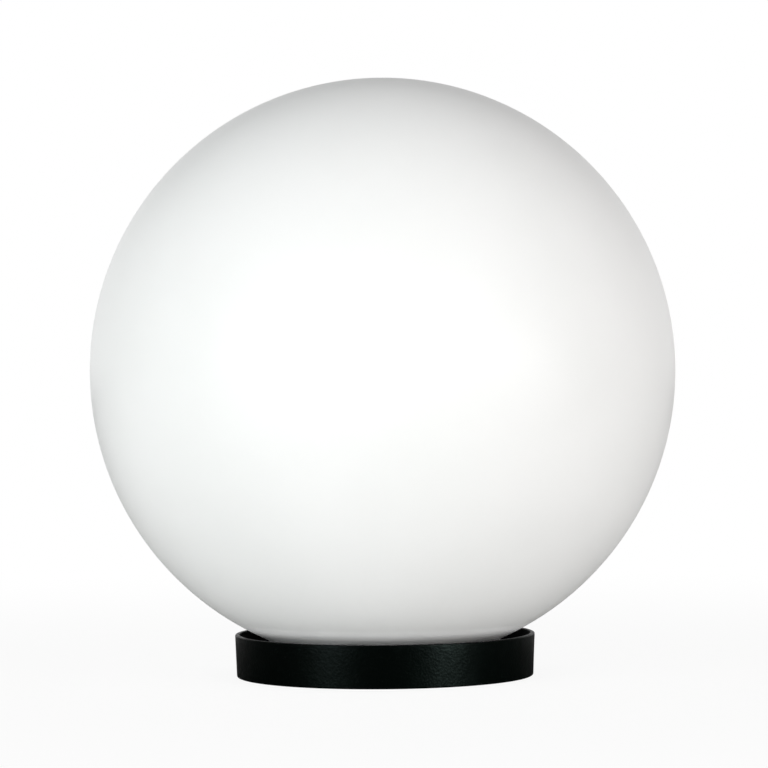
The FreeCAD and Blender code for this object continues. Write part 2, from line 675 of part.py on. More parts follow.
def add_clamp_bosses(body):
    """Round-topped bosses on the floor beside the socket, each with a screw hole and a captive nut's slot."""
    half = "clamp_boss_width / 2"
    boss = new_sketch(body, "boss_outline", "YZ_Plane", lift="(bore_radius + socket_outer) / 2")
    draw_outline(
        boss,
        [
            (f"0 - {half}", "floor_recess + floor_thickness / 2"),
            (half, "floor_recess + floor_thickness / 2"),
            (half, "clamp_height", "left", half),
            ("0", f"clamp_height + {half}", "left", half),
            (f"0 - {half}", "clamp_height"),
        ],
    )
    raised = extrude(body, boss, "clamp_boss_tip - (bore_radius + socket_outer) / 2")
    repeat_round(body, [raised], "clamp_count")
    hole = new_sketch(body, "clamp_hole_outline", "YZ_Plane", lift=f"bore_radius - {OVERRUN}")
    draw_circles(hole, [("0", "clamp_height", "clamp_hole_radius")])
    drilled = extrude(body, hole, f"clamp_boss_tip - bore_radius + 2 * {OVERRUN}", cut=True)
    slot = new_sketch(body, "nut_slot_outline", "YZ_Plane", lift="nut_inner - nut_slack")
    draw_rectangle(
        slot,
        "0 - nut_width / 2 - nut_slack",
        "nut_width / 2 + nut_slack",
        "clamp_height - nut_reach - nut_slack",
        f"clamp_height + {half} + {OVERRUN}",
    )
    slotted = extrude(body, slot, "nut_thickness + 2 * nut_slack", cut=True)
    repeat_round(body, [drilled, slotted], "clamp_count")


def add_drains(body):
    """Holes that let rain out of the gutter."""
    drain = new_sketch(body, "drain_outline", "XY_Plane", turn="lug_arc")
    draw_circles(drain, [("gutter_middle", "0", "drain_diameter / 2")])
    drilled = extrude(body, drain, f"floor_top + {OVERRUN}", cut=True)
    repeat_round(body, [drilled], "lug_count")


def add_pilot_holes(body):
    """Blind holes in the socket's top for the screws of the tray, bridge, terminal block and earth."""
    holes = new_sketch(body, "pilot_outline", "XY_Plane", lift="socket_top - stop_thickness * pilot_share")
    tapping = "tapping_radius + thread_play"
    tab = "tab_screw_diameter / 2 + thread_play"
    draw_circles(
        holes,
        [
            *[(x, y, tapping) for x, y in screw_spots(BRIDGE_ANGLES + TRAY_ANGLES)],
            ("earth_x", "earth_y", tapping),
            ("tab_middle", "block_middle", tab),
            ("0 - tab_middle", "block_middle", tab),
        ],
    )
    extrude(body, holes, f"stop_thickness * pilot_share + {OVERRUN}", cut=True)


# Screws and nuts


def make_slotted_form(name, radius, length, head_radius, head_height):
    """A slotted screw along Z, with its head above the origin and its shank below."""
    head = rod(name + "_head", head_radius, head_height)
    shank = rod(name + "_shank", radius, length, ("0", "0", f"0 - ({length})"))
    reach = f"{head_radius} + {OVERRUN}"
    slot = block(
        name + "_slot",
        (f"0 - ({reach})", "0 - slot_width / 2", f"{head_height} - slot_depth"),
        (reach, "slot_width / 2", f"{head_height} + {OVERRUN}"),
    )
    return less(name, fused(name + "_blank", [head, shank]), [slot])


def make_prism(name, across_flats, length, at=("0", "0", "0")):
    """A hexagonal bar along Z, with a corner towards X."""
    bar = document.addObject("Part::Prism", name)
    bar.Polygon = 6
    bind(bar, Circumradius=f"({across_flats}) / sqrt(3)", Height=length)
    return place(bar, at)


def make_post_clamp_screws():
    """Socket-headed screws that grip the post through the socket wall."""
    head = rod("clamp_screw_head", "clamp_head_diameter / 2", "clamp_head_height")
    below = ("0", "0", "0 - clamp_screw_length")
    shank = rod("clamp_screw_shank", "clamp_screw_diameter / 2", "clamp_screw_length", below)
    seat = ("0", "0", "clamp_head_height - clamp_key_depth")
    key = make_prism("clamp_screw_key", "clamp_key_width", f"clamp_key_depth + {OVERRUN}", seat)
    form = less("clamp_screw_form", fused("clamp_screw_blank", [head, shank]), [key])
    spots = [on_circle("clamp_head", "clamp_height", angle) for angle in even_angles("clamp_count")]
    return copies("post_clamp_screws", form, spots)


def make_post_clamp_nuts():
    """Nuts that lie captive in the slots of the bosses."""
    bar = make_prism("nut_bar", "nut_width", "nut_thickness")
    length = f"nut_thickness + 2 * {OVERRUN}"
    hole = rod("nut_hole", "clamp_screw_diameter / 2 + thread_play", length, ("0", "0", f"0 - {OVERRUN}"))
    form = less("nut_form", bar, [hole])
    spots = [on_circle("nut_inner", "clamp_height", angle) for angle in even_angles("clamp_count")]
    return copies("post_clamp_nuts", form, spots)


def make_tapping_screws():
    """Self tapping screws of the tray, the bridge, the lampholder and the earth tag."""
    form = make_slotted_form(
        "tapping_form",
        "tapping_radius",
        "tapping_length",
        "tapping_head_diameter / 2",
        "tapping_head_height",
    )
    bridge = [((x, y, "foot_top"), UPRIGHT) for x, y in screw_spots(BRIDGE_ANGLES)]
    tray = [((x, y, "tray_top"), UPRIGHT) for x, y in screw_spots(TRAY_ANGLES)]
    holder = [((x, "0", "bridge_top - bridge_thickness"), DOWNWARD) for x in HOLDER_SCREWS]
    earth = [(("earth_x", "earth_y", "tag_level"), UPRIGHT)]
    return [
        copies("bridge_screws", form, bridge),
        copies("tray_screws", form, tray),
        copies("lampholder_screws", form, holder),
        copies("earth_screw", form, earth),
    ]


# The gear tray and what stands on it


def make_gear_tray():
    """Steel disc on the socket's top, which carries the bridge, the terminal block and the earth."""
    body = new_body("gear_tray")
    plate = new_sketch(body, "tray_outline", "XY_Plane", lift="socket_top")
    holes = [(x, y, "tapping_radius + hole_play") for x, y in screw_spots(BRIDGE_ANGLES + TRAY_ANGLES)]
    holes.append(("earth_x", "earth_y", "tapping_radius + hole_play"))
    holes += [(x, "block_middle", "tab_screw_diameter / 2 + hole_play") for x in TABS]
    rim = [("0", "0", "tray_radius"), ("0", "0", "grommet_groove_diameter / 2 + grommet_play")]
    draw_circles(plate, rim + holes)
    extrude(body, plate, "tray_thickness")
    return body


def make_cable_grommet():
    """Rubber grommet in the middle of the tray, which the supply cable comes up through."""
    body = new_body("cable_grommet")
    bore, groove, flange = "grommet_bore / 2", "grommet_groove_diameter / 2", "grommet_flange_diameter / 2"
    low, high = "socket_top - grommet_flange_height", "tray_top + grommet_flange_height"
    outline = new_sketch(body, "grommet_outline")
    draw_outline(
        outline,
        [
            (bore, low),
            (flange, low),
            (flange, "socket_top"),
            (groove, "socket_top"),
            (groove, "tray_top"),
            (flange, "tray_top"),
            (flange, high),
            (bore, high),
        ],
    )
    lathe(body, outline)
    return body


def make_holder_bridge():
    """Bent steel strip that lifts the lampholder clear of the cable."""
    body = new_body("holder_bridge")
    strip = new_sketch(body, "strip_outline")
    draw_outline(strip, mirrored(bridge_half_outline()))
    extrude(body, strip, "bridge_width", middle=True)
    feet = new_sketch(body, "foot_holes", "XY_Plane", lift=f"tray_top - {OVERRUN}")
    draw_circles(feet, [(x, y, "tapping_radius + hole_play") for x, y in screw_spots(BRIDGE_ANGLES)])
    extrude(body, feet, f"bridge_thickness + 2 * {OVERRUN}", cut=True)
    top = new_sketch(body, "top_holes", "XY_Plane", lift=f"bridge_top - bridge_thickness - {OVERRUN}")
    draw_circles(top, [(x, "0", "tapping_radius + hole_play") for x in HOLDER_SCREWS])
    extrude(body, top, f"bridge_thickness + 2 * {OVERRUN}", cut=True)
    return body


def bridge_half_outline():
    """The strip's right half, from the middle of its top down its outside and back up its inside."""
    inside = "bridge_bend"
    outside = "(bridge_bend + bridge_thickness)"
    return [
        ("0", "bridge_top - bridge_thickness"),
        (f"bridge_half - {outside}", "bridge_top - bridge_thickness", "right", inside),
        ("bridge_half - bridge_thickness", f"bridge_top - {outside}"),
        ("bridge_half - bridge_thickness", f"tray_top + {outside}", "left", outside),
        (f"bridge_half + {inside}", "tray_top"),
        ("bridge_half + bridge_foot", "tray_top"),
        ("bridge_half + bridge_foot", "foot_top"),
        (f"bridge_half + {inside}", "foot_top", "right", inside),
        ("bridge_half", f"foot_top + {inside}"),
        ("bridge_half", f"bridge_top - {outside}", "left", outside),
        (f"bridge_half - {outside}", "bridge_top"),
        ("0", "bridge_top"),
    ]


def mirrored(corners):
    """A half outline that starts and ends on the upright axis, joined to its other half."""
    half = corners[1:-1]
    other = [(f"0 - ({x})", z, *before[2:]) for before, (x, z, *_) in zip([(), *half], half)]
    return half + other[::-1]


# The lampholder: porcelain, threaded shell, contacts and terminals


def make_lampholder_body():
    body = new_body("lampholder_body")
    outline = new_sketch(body, "porcelain_outline")
    draw_outline(
        outline,
        [
            ("0", "bridge_top"),
            ("holder_base_radius", "bridge_top"),
            ("holder_base_radius", "bridge_top + holder_base_height"),
            ("holder_waist_diameter / 2", "bridge_top + holder_base_height + holder_shoulder"),
            ("holder_waist_diameter / 2", "holder_top - holder_rim_height"),
            ("holder_rim_diameter / 2", "holder_top - holder_rim_height"),
            ("holder_rim_diameter / 2", "holder_top"),
            ("holder_mouth_diameter / 2", "holder_top"),
            ("cavity_radius", "holder_top - holder_mouth_depth"),
            ("cavity_radius", "cavity_floor"),
            ("0", "cavity_floor"),
        ],
    )
    lathe(body, outline)
    for side, angle in TERMINAL_SIDES.items():
        leg = CONTACT_LEGS[side]
        pocket = new_sketch(body, side + "_pocket", "XY_Plane", lift="terminal_under", turn=angle)
        across = f"holder_base_radius + {OVERRUN}"
        draw_rectangle(pocket, "pocket_inner", across, "0 - pocket_half", "pocket_half")
        extrude(body, pocket, "pocket_top - terminal_under", cut=True)
        slot = new_sketch(body, side + "_slot", "XY_Plane", lift="terminal_top", turn=angle)
        half = "(contact_width / 2 + contact_slot_play)"
        draw_rectangle(
            slot,
            f"{leg} - contact_slot_play",
            f"{leg} + contact_thickness + contact_slot_play",
            f"0 - {half}",
            half,
        )
        extrude(body, slot, f"cavity_floor - terminal_top + {OVERRUN}", cut=True)
    wires = new_sketch(body, "wire_holes", "XY_Plane", lift=f"bridge_top - {OVERRUN}")
    wire = "lead_diameter / 2 + lead_hole_play"
    draw_circles(wires, [(x, "terminal_wire_y", wire) for x in ("pole_pitch", "0 - pole_pitch")])
    extrude(body, wires, f"{OVERRUN} + terminal_lift", cut=True)
    screws = new_sketch(body, "fixing_holes", "XY_Plane", lift=f"bridge_top - {OVERRUN}")
    draw_circles(screws, [(x, "0", "tapping_radius + thread_play") for x in HOLDER_SCREWS])
    extrude(body, screws, f"{OVERRUN} + holder_screw_depth", cut=True)
    return body


def make_lampholder_shell():
    """Plated shell whose thread takes the lamp's cap, with a flange on the cavity's floor."""
    body = new_body("lampholder_shell")
    outline = new_sketch(body, "shell_outline")
    draw_outline(
        outline,
        [
            ("shell_inner - shell_flange", "cavity_floor"),
            ("shell_outer", "cavity_floor"),
            ("shell_outer", "shell_top"),
            ("shell_inner", "shell_top"),
            ("shell_inner", "cavity_floor + shell_wall"),
            ("shell_inner - shell_flange", "cavity_floor + shell_wall"),
        ],
    )
    lathe(body, outline)
    return body


def make_centre_contact():
    """Sprung tongue under the lamp's tip, with a leg down to the live terminal."""
    body = new_body("centre_contact")
    leg, outer = "centre_leg_radius", "centre_leg_radius + contact_thickness"
    outline = new_sketch(body, "tongue_outline", turn=TERMINAL_SIDES["live"])
    draw_outline(
        outline,
        [
            (leg, "terminal_top"),
            (f"{outer} + contact_foot", "terminal_top"),
            (f"{outer} + contact_foot", "terminal_top + contact_thickness"),
            (outer, "terminal_top + contact_thickness"),
            (outer, "cavity_floor + contact_thickness"),
            (f"{leg} * contact_rise_share", "cavity_floor + contact_thickness"),
            ("contact_pad", "contact_high"),
            ("0 - contact_pad", "contact_high"),
            ("0 - contact_pad", "contact_high - contact_thickness"),
            ("contact_pad", "contact_high - contact_thickness"),
            (f"{leg} * contact_rise_share", "cavity_floor"),
            (leg, "cavity_floor"),
        ],
    )
    extrude(body, outline, "contact_width", middle=True)
    return body


def make_shell_contact():
    """Strip from the neutral terminal up to the underside of the shell's flange."""
    body = new_body("shell_contact")
    leg, outer = "shell_leg_radius", "shell_leg_radius + contact_thickness"
    outline = new_sketch(body, "strip_outline", turn=TERMINAL_SIDES["neutral"])
    draw_outline(
        outline,
        [
            (leg, "terminal_top"),
            (f"{outer} + contact_foot", "terminal_top"),
            (f"{outer} + contact_foot", "terminal_top + contact_thickness"),
            (outer, "terminal_top + contact_thickness"),
            (outer, "cavity_floor"),
            (leg, "cavity_floor"),
        ],
    )
    extrude(body, outline, "contact_width", middle=True)
    return body


def make_holder_terminals():
    """Brass terminals in the porcelain's pockets, each with a hole for its lead and one for its screw."""
    brass = block(
        "terminal_bar",
        ("terminal_inner", "0 - terminal_width / 2", "terminal_under"),
        ("terminal_outer", "terminal_width / 2", "terminal_top"),
    )
    below = ("terminal_wire", "0", f"terminal_under - {OVERRUN}")
    wire = rod("terminal_wire_hole", "lead_diameter / 2 + lead_play", f"terminal_wire_depth + {OVERRUN}", below)
    thread = rod(
        "terminal_screw_hole",
        "terminal_screw_diameter / 2 + thread_play",
        f"terminal_outer - terminal_wire + {OVERRUN}",
        ("terminal_wire", "0", "terminal_under + terminal_screw_height"),
        OUTWARD,
    )
    form = less("terminal_form", brass, [wire, thread])
    spots = [(("0", "0", "0"), round_z(value(angle))) for angle in TERMINAL_SIDES.values()]
    return copies("holder_terminals", form, spots)


def make_holder_terminal_screws():
    form = make_slotted_form(
        "terminal_screw_form",
        "terminal_screw_diameter / 2",
        "terminal_head - terminal_wire - lead_diameter / 2",
        "terminal_head_diameter / 2",
        "terminal_head_height",
    )
    level = "terminal_under + terminal_screw_height"
    spots = [on_circle("terminal_head", level, value(angle)) for angle in TERMINAL_SIDES.values()]
    return copies("holder_terminal_screws", form, spots)


# The terminal block: three poles for live, earth and neutral


def make_terminal_block():
    body = new_body("terminal_block")
    base = new_sketch(body, "block_base", "XY_Plane", lift="tray_top")
    half = "block_tab / 2"
    right = [
        ("0", "block_near"),
        ("block_half", "block_near"),
        ("block_half", f"block_middle - {half}"),
        ("tab_middle", f"block_middle - {half}", "left", half),
        ("block_end", "block_middle", "left", half),
        ("tab_middle", f"block_middle + {half}"),
        ("block_half", f"block_middle + {half}"),
        ("block_half", "block_far"),
        ("0", "block_far"),
    ]
    draw_outline(base, mirrored(right))
    extrude(body, base, "block_base_height")
    towers = new_sketch(body, "towers", "XY_Plane", lift="tray_top + block_base_height / 2")
    for x in POLES:
        draw_rectangle(
            towers, f"{x} - block_tower_width / 2", f"{x} + block_tower_width / 2", "block_near", "block_far"
        )
    extrude(body, towers, "block_height - block_base_height / 2")
    bores = new_sketch(body, "tube_bores", lift=f"{OVERRUN} - block_near")
    draw_circles(bores, [(x, "wire_level", "tube_diameter / 2 + tube_play") for x in POLES])
    extrude(body, bores, f"block_depth + 2 * {OVERRUN}", cut=True, reverse=True)
    wells = new_sketch(body, "screw_wells", "XY_Plane", lift="pole_seat")
    draw_circles(wells, [(x, y, "pole_screw_head_diameter / 2 + hole_play") for x, y in POLE_SCREWS])
    extrude(body, wells, f"block_top - pole_seat + {OVERRUN}", cut=True)
    holes = new_sketch(body, "screw_holes", "XY_Plane", lift="wire_level")
    draw_circles(holes, [(x, y, "pole_screw_diameter / 2 + hole_play") for x, y in POLE_SCREWS])
    extrude(body, holes, f"pole_seat - wire_level + {OVERRUN}", cut=True)
    tabs = new_sketch(body, "tab_holes", "XY_Plane", lift=f"tray_top - {OVERRUN}")
    draw_circles(tabs, [(x, "block_middle", "tab_screw_diameter / 2 + hole_play") for x in TABS])
    extrude(body, tabs, f"block_base_height + 2 * {OVERRUN}", cut=True)
    return body


def make_terminal_tubes():
    """Brass tubes in the block, each with a clamp screw at both ends."""
    start = ("0", "block_near + tube_inset", "wire_level")
    solid = rod("tube_bar", "tube_diameter / 2", "block_depth - 2 * tube_inset", start, AWAY)
    bore_start = ("0", f"block_near - {OVERRUN}", "wire_level")
    bore = rod("tube_hole", "tube_bore / 2", f"block_depth + 2 * {OVERRUN}", bore_start, AWAY)
    radius = "pole_screw_diameter / 2 + thread_play"
    threads = [
        rod("tube_thread", radius, f"tube_diameter / 2 + {OVERRUN}", ("0", y, "wire_level"))
        for y in (POLE_NEAR, POLE_FAR)
    ]
    form = less("tube_form", solid, [bore, *threads])
    return copies("terminal_tubes", form, [((x, "0", "0"), UPRIGHT) for x in POLES])


def make_terminal_screws():
    form = make_slotted_form(
        "pole_screw_form",
        "pole_screw_diameter / 2",
        "pole_seat - wire_level - lead_diameter / 2",
        "pole_screw_head_diameter / 2",
        "pole_screw_head_height",
    )
    return copies("terminal_screws", form, [((x, y, "pole_seat"), UPRIGHT) for x, y in POLE_SCREWS])


def make_terminal_block_screws():
    form = make_slotted_form(
        "tab_screw_form",
        "tab_screw_diameter / 2",
        "tab_screw_length",
        "tab_screw_head_diameter / 2",
        "tab_screw_head_height",
    )
    seat = "tray_top + block_base_height"
    return copies("terminal_block_screws", form, [((x, "block_middle", seat), UPRIGHT) for x in TABS])


# Leads and the earth tag


def make_earth_tag():
    """Ring tag under the earth screw, with a barrel that grips the earth lead."""
    ring = rod("tag_ring", "tag_diameter / 2", "tag_thickness", ("earth_x", "earth_y", "tray_top"))
    neck = block(
        "tag_neck_plate",
        ("earth_x - tag_barrel_diameter / 3", "earth_y + tag_diameter / 3", "tray_top"),
        ("earth_x + tag_barrel_diameter / 3", "barrel_start + tag_thickness", "tag_level"),
    )
    barrel_at = ("earth_x", "barrel_start", "tag_axis")
    barrel = rod("tag_barrel", "tag_barrel_diameter / 2", "tag_barrel_length", barrel_at, AWAY)
    below = ("earth_x", "earth_y", f"tray_top - {OVERRUN}")
    hole = rod("tag_hole", "tapping_radius + hole_play", f"tag_thickness + 2 * {OVERRUN}", below)
    bore = rod("tag_bore", "lead_diameter / 2 + lead_play", f"tag_barrel_length + {OVERRUN}", barrel_at, AWAY)
    return less("earth_ring_tag", fused("tag_blank", [ring, neck, barrel]), [hole, bore])


def make_lead(label, route):
    """An insulated lead: straight runs joined by tangent arcs, each as large as its runs allow."""
    points = [Vector(*[value(words) for words in place_words]) for place_words in route]
    edges = []
    start = points[0]
    for before, corner, after in zip(points, points[1:], points[2:]):
        back, ahead = before - corner, after - corner
        reach = value("lead_bend_share") * min(back.Length, ahead.Length)
        back.normalize()
        ahead.normalize()
        half_turn = (math.pi - back.getAngle(ahead)) / 2
        radius = reach / math.tan(half_turn)
        middle = back + ahead
        middle.normalize()
        dip = radius / math.cos(half_turn) - radius
        arc_start, arc_end = corner + back * reach, corner + ahead * reach
        edges.append(Part.LineSegment(start, arc_start).toShape())
        edges.append(Part.Arc(arc_start, corner + middle * dip, arc_end).toShape())
        start = arc_end
        print(f"{label}: bend radius {radius:.2f}")
    edges.append(Part.LineSegment(start, points[-1]).toShape())
    path = Part.Wire(edges)
    radius = value("lead_diameter / 2")
    section = Part.Wire([Part.Circle(points[0], points[1] - points[0], radius).toShape()])
    solid = path.makePipeShell([section], True, True)
    expected = math.pi * radius**2 * path.Length
    if abs(solid.Volume / expected - 1) > 1e-3:
        raise ValueError(f"{label}: volume {solid.Volume:.2f}, expected {expected:.2f}")
    lead = document.addObject("Part::Feature", label)
    lead.Shape = solid
    lead.Placement = Placement()
    return lead


def make_leads():
    """Live and neutral from the block to the porcelain, and earth round to its tag."""
    inside = f"{POLE_NEAR} + lead_past_screw"
    top = "terminal_under + terminal_wire_depth"
    leads = []
    for label, x in (("live_lead", "0 - pole_pitch"), ("neutral_lead", "pole_pitch")):
        route = [(x, inside, "wire_level"), (x, "terminal_wire_y", "wire_level"), (x, "terminal_wire_y", top)]
        leads.append(make_lead(label, route))
    loop = "block_far + earth_loop"
    earth = [
        ("earth_x", "barrel_start + tag_barrel_length / 2", "tag_axis"),
        ("earth_x", loop, "tag_axis"),
        ("0", loop, "wire_level"),
        ("0", f"{POLE_FAR} - lead_past_screw", "wire_level"),
    ]
    leads.append(make_lead("earth_lead", earth))
    return leads


# The lamp


def make_lamp_tip_contact():
    body = new_body("lamp_tip_contact")
    outline = new_sketch(body, "tip_outline")
    draw_outline(
        outline,
        [
            ("0", "lamp_low"),
            ("lamp_tip_diameter / 4", "lamp_low"),
            ("lamp_tip_diameter / 2", "insulator_low"),
            ("0", "insulator_low"),
        ],
    )
    lathe(body, outline)
    return body


def make_lamp_insulator():
    body = new_body("lamp_insulator")
    outline = new_sketch(body, "insulator_outline")
    draw_outline(
        outline,
        [
            ("0", "insulator_low"),
            ("lamp_tip_diameter / 2", "insulator_low"),
            ("cap_foot", "cap_low"),
            ("0", "cap_low"),
        ],
    )
    lathe(body, outline)
    return body


def make_lamp_cap():
    body = new_body("lamp_cap_shell")
    outline = new_sketch(body, "cap_outline")
    draw_outline(
        outline,
        [
            ("cap_foot - cap_wall", "cap_low"),
            ("cap_foot", "cap_low"),
            ("cap_radius", "cap_shoulder"),
            ("cap_radius", "cap_thread_top"),
            ("skirt_top_radius", "cap_top"),
            ("skirt_top_radius - cap_wall", "cap_top"),
            ("cap_inner", "cap_thread_top"),
            ("cap_inner", "cap_shoulder"),
        ],
    )
    lathe(body, outline)
    return body


def make_lamp_body():
    """Moulded body that flares from the cap to the diffuser, solid round its driver."""
    body = new_body("lamp_body")
    outline = new_sketch(body, "flare_outline")
    draw_outline(
        outline,
        [
            ("0", "cap_thread_top"),
            ("cap_inner - cap_bond", "cap_thread_top"),
            ("skirt_top_radius - cap_wall - cap_bond", "cap_top"),
            ("skirt_top_radius", "cap_top", "right", "lamp_body_bulge"),
            ("bulb_edge", "bulb_low"),
            ("0", "bulb_low"),
        ],
    )
    lathe(body, outline)
    return body


def make_lamp_diffuser():
    body = new_body("lamp_diffuser")
    outline = new_sketch(body, "diffuser_outline")
    draw_outline(
        outline,
        [
            ("bulb_inner_edge", "bulb_low"),
            ("bulb_edge", "bulb_low", "left", "bulb_radius"),
            ("0", "bulb_centre + bulb_radius"),
            ("0", "bulb_centre + bulb_inner", "right", "bulb_inner"),
        ],
    )
    lathe(body, outline)
    return body


def make_led_board():
    return rod("led_board", "board_radius", "board_thickness", ("0", "0", "bulb_low"))


def make_led_chips():
    half = "chip_size / 2"
    form = block("chip_form", (f"0 - {half}", f"0 - {half}", "0"), (half, half, "chip_height"))
    spots = [
        on_circle("chip_circle_diameter / 2", "board_top", angle, UPRIGHT) for angle in even_angles("chip_count")
    ]
    return copies("led_chips", form, spots)


# The whole light


def check_document():
    """Stop at any object that failed to compute."""
    for thing in document.Objects:
        if {"Invalid", "Error"} & set(thing.State):
            raise ValueError(f"{thing.Label}: {thing.State}")


def write_nodes(nodes):
    """Write one file for each node, once every shape has passed its checks."""
    for node in nodes:
        if node.Shape.isNull() or not node.Shape.isValid() or node.Shape.Volume <= 0:
            raise ValueError(f"{node.Label}: its shape is null, invalid or empty")
    os.makedirs("parts", exist_ok=True)
    for node in nodes:
        node.Shape.exportStep(f"parts/{node.Label}.step")
        print(f"{node.Label}: {len(node.Shape.Solids)} solids, {node.Shape.Volume / 1000:.3f} cubic cm")


def screw_spots(angles):
    """Where screws stand on the tray's circle."""
    return [(f"tray_screw_radius * cos({a})", f"tray_screw_radius * sin({a})") for a in angles]


def main():
    write_sheet("Sizes", [(name, size, note) for name, size, note in SIZES])
    document.recompute()
    names = [(name, formula, note) for name, formula, note in PLACES]
    SHEETS.update((name, "Places") for name, _, _ in names)
    write_sheet("Places", [(name, "=" + cells(formula), note) for name, formula, note in names])
    document.recompute()
    nodes = [
        make_globe(),
        make_neck_gasket(),
        make_gallery(),
        make_post_clamp_screws(),
        make_post_clamp_nuts(),
        make_gear_tray(),
        make_cable_grommet(),
        make_holder_bridge(),
        *make_tapping_screws(),
        make_lampholder_body(),
        make_lampholder_shell(),
        make_centre_contact(),
        make_shell_contact(),
        make_holder_terminals(),
        make_holder_terminal_screws(),
        make_terminal_block(),
        make_terminal_tubes(),
        make_terminal_screws(),
        make_terminal_block_screws(),
        make_earth_tag(),
        *make_leads(),
        make_lamp_tip_contact(),
        make_lamp_insulator(),
        make_lamp_cap(),
        make_lamp_body(),
        make_led_board(),
        make_led_chips(),
        make_lamp_diffuser(),
    ]
    document.recompute()
    check_document()
    write_nodes(nodes)


main()
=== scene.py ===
"""Dresses the post top light: an opal globe in a black gallery, with its lampholder, wiring and lamp."""

import logging
import math
from dataclasses import dataclass, field
from enum import Enum
from typing import Any, ClassVar, Dict, Mapping, Optional, Sequence, Tuple, Union

import bmesh
import bpy
from mathutils import Matrix, Quaternion, Vector


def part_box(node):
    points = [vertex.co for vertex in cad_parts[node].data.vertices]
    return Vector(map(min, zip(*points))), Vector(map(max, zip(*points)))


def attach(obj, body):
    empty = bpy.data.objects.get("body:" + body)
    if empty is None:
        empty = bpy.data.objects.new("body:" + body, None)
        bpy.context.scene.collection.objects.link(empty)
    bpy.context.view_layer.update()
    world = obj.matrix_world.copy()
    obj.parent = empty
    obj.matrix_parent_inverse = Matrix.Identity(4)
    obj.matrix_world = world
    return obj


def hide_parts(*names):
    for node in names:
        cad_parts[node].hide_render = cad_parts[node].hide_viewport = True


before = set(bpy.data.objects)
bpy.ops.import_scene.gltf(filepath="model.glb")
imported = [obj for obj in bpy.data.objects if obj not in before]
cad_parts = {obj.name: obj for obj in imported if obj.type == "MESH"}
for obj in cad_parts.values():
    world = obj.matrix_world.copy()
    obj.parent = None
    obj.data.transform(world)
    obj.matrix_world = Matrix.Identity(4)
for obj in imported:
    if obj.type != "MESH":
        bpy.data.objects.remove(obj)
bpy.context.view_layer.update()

LOG = logging.getLogger("post_top_light")
MM = 0.001  # a millimetre in metres
Point = Tuple[float, float, float]
Colour = Tuple[float, float, float]
Span = Tuple[float, float]
Noise = Tuple[float, float, float]  # width of a feature in millimetres, octaves, strength of the fine ones
Patches = Tuple[float, float, float, float, float]  # a noise, and the span of it in which a patch begins
FALLING: Span = (1.0, 0.0)  # lets a ramp fall instead of rise
BLACK: Colour = (0.0, 0.0, 0.0)
WHITE: Colour = (1.0, 1.0, 1.0)


# ---- shapes ----


class Profile:
    """An outline in the XZ plane, in millimetres, drawn corner by corner and then turned."""

    POLE: ClassVar[float] = 2e-3  # a point nearer to the axis than this is set on it
    MERGE: ClassVar[float] = 1e-4  # points nearer to each other than this become one

    def __init__(self, x: float, z: float, ease: float = 0.0) -> None:
        """Start the outline at a corner.

        Args:
            x: Its distance from the axis.
            z: Its height.
            ease: Radius that rounds it.
        """
        self.bm = bmesh.new()
        self.first = self.last = self.bm.verts.new((x, 0.0, z))
        self.eased = [(self.first, ease)]

    def line(self, x: float, z: float, ease: float = 0.0, cuts: int = 0) -> "Profile":
        """Draw a straight side to the next corner.

        Args:
            x: Its distance from the axis.
            z: Its height.
            ease: Radius that rounds it.
            cuts: Number of points added along the side.

        Returns:
            This outline.
        """
        start, end = self.last.co.copy(), Vector((x, 0.0, z))
        for step in range(1, cuts + 2):
            corner = self.bm.verts.new(start.lerp(end, step / (cuts + 1)))
            self.bm.edges.new((self.last, corner))
            self.last = corner
        self.eased.append((self.last, ease))
        return self

    def arc(self, x: float, z: float, degrees: float, steps: int) -> "Profile":
        """Draw an arc round a centre, anticlockwise with x to the right and z up.

        Args:
            x: Centre's distance from the axis.
            z: Centre's height.
            degrees: Sweep, negative for clockwise.
            steps: Number of sides.

        Returns:
            This outline.
        """
        swept = bmesh.ops.spin(
            self.bm, geom=[self.last], cent=(x, 0.0, z), axis=(0.0, -1.0, 0.0),
            angle=math.radians(degrees), steps=steps, use_merge=False,
        )
        self.last = next(g for g in swept["geom_last"] if isinstance(g, bmesh.types.BMVert))
        return self

    def close(self) -> "Profile":
        """Join the last corner to the first."""
        self.bm.edges.new((self.last, self.first))
        return self

    def round_corners(self, segments: int = 4) -> None:
        """Round each corner that was given a radius.

        Args:
            segments: Sides of each rounding.
        """
        for corner, radius in self.eased:
            sides = [(e.other_vert(corner).co - corner.co) for e in corner.link_edges]
            if radius and len(sides) == 2:
                reach = radius / math.tan(sides[0].angle(sides[1]) / 2)
                bmesh.ops.bevel(
                    self.bm, geom=[corner], offset=reach, offset_type="OFFSET", segments=segments,
                    profile=0.5, affect="VERTICES", material=-1,
                )

    def turn(self, steps: int, start: float = 0.0, sweep: float = 360.0) -> "Shape":
        """Spin the outline about the Z axis.

        Args:
            steps: Number of sides over the sweep.
            start: Angle in degrees at which it starts.
            sweep: Angle in degrees that it covers.

        Returns:
            The closed shape.
        """
        self.round_corners()
        bm, whole = self.bm, sweep >= 360.0
        for vert in bm.verts:
            vert.co.x = 0.0 if abs(vert.co.x) < self.POLE else vert.co.x
        shape = Shape(bm).turned(start)
        bmesh.ops.spin(
            bm, geom=bm.verts[:] + bm.edges[:], cent=(0, 0, 0), axis=(0, 0, 1),
            angle=math.radians(sweep), steps=steps, use_merge=whole,
        )
        bmesh.ops.remove_doubles(bm, verts=bm.verts, dist=self.MERGE)
        if not whole:
            bmesh.ops.holes_fill(bm, edges=[e for e in bm.edges if e.is_boundary], sides=0)
        bmesh.ops.recalc_face_normals(bm, faces=bm.faces)
        return shape


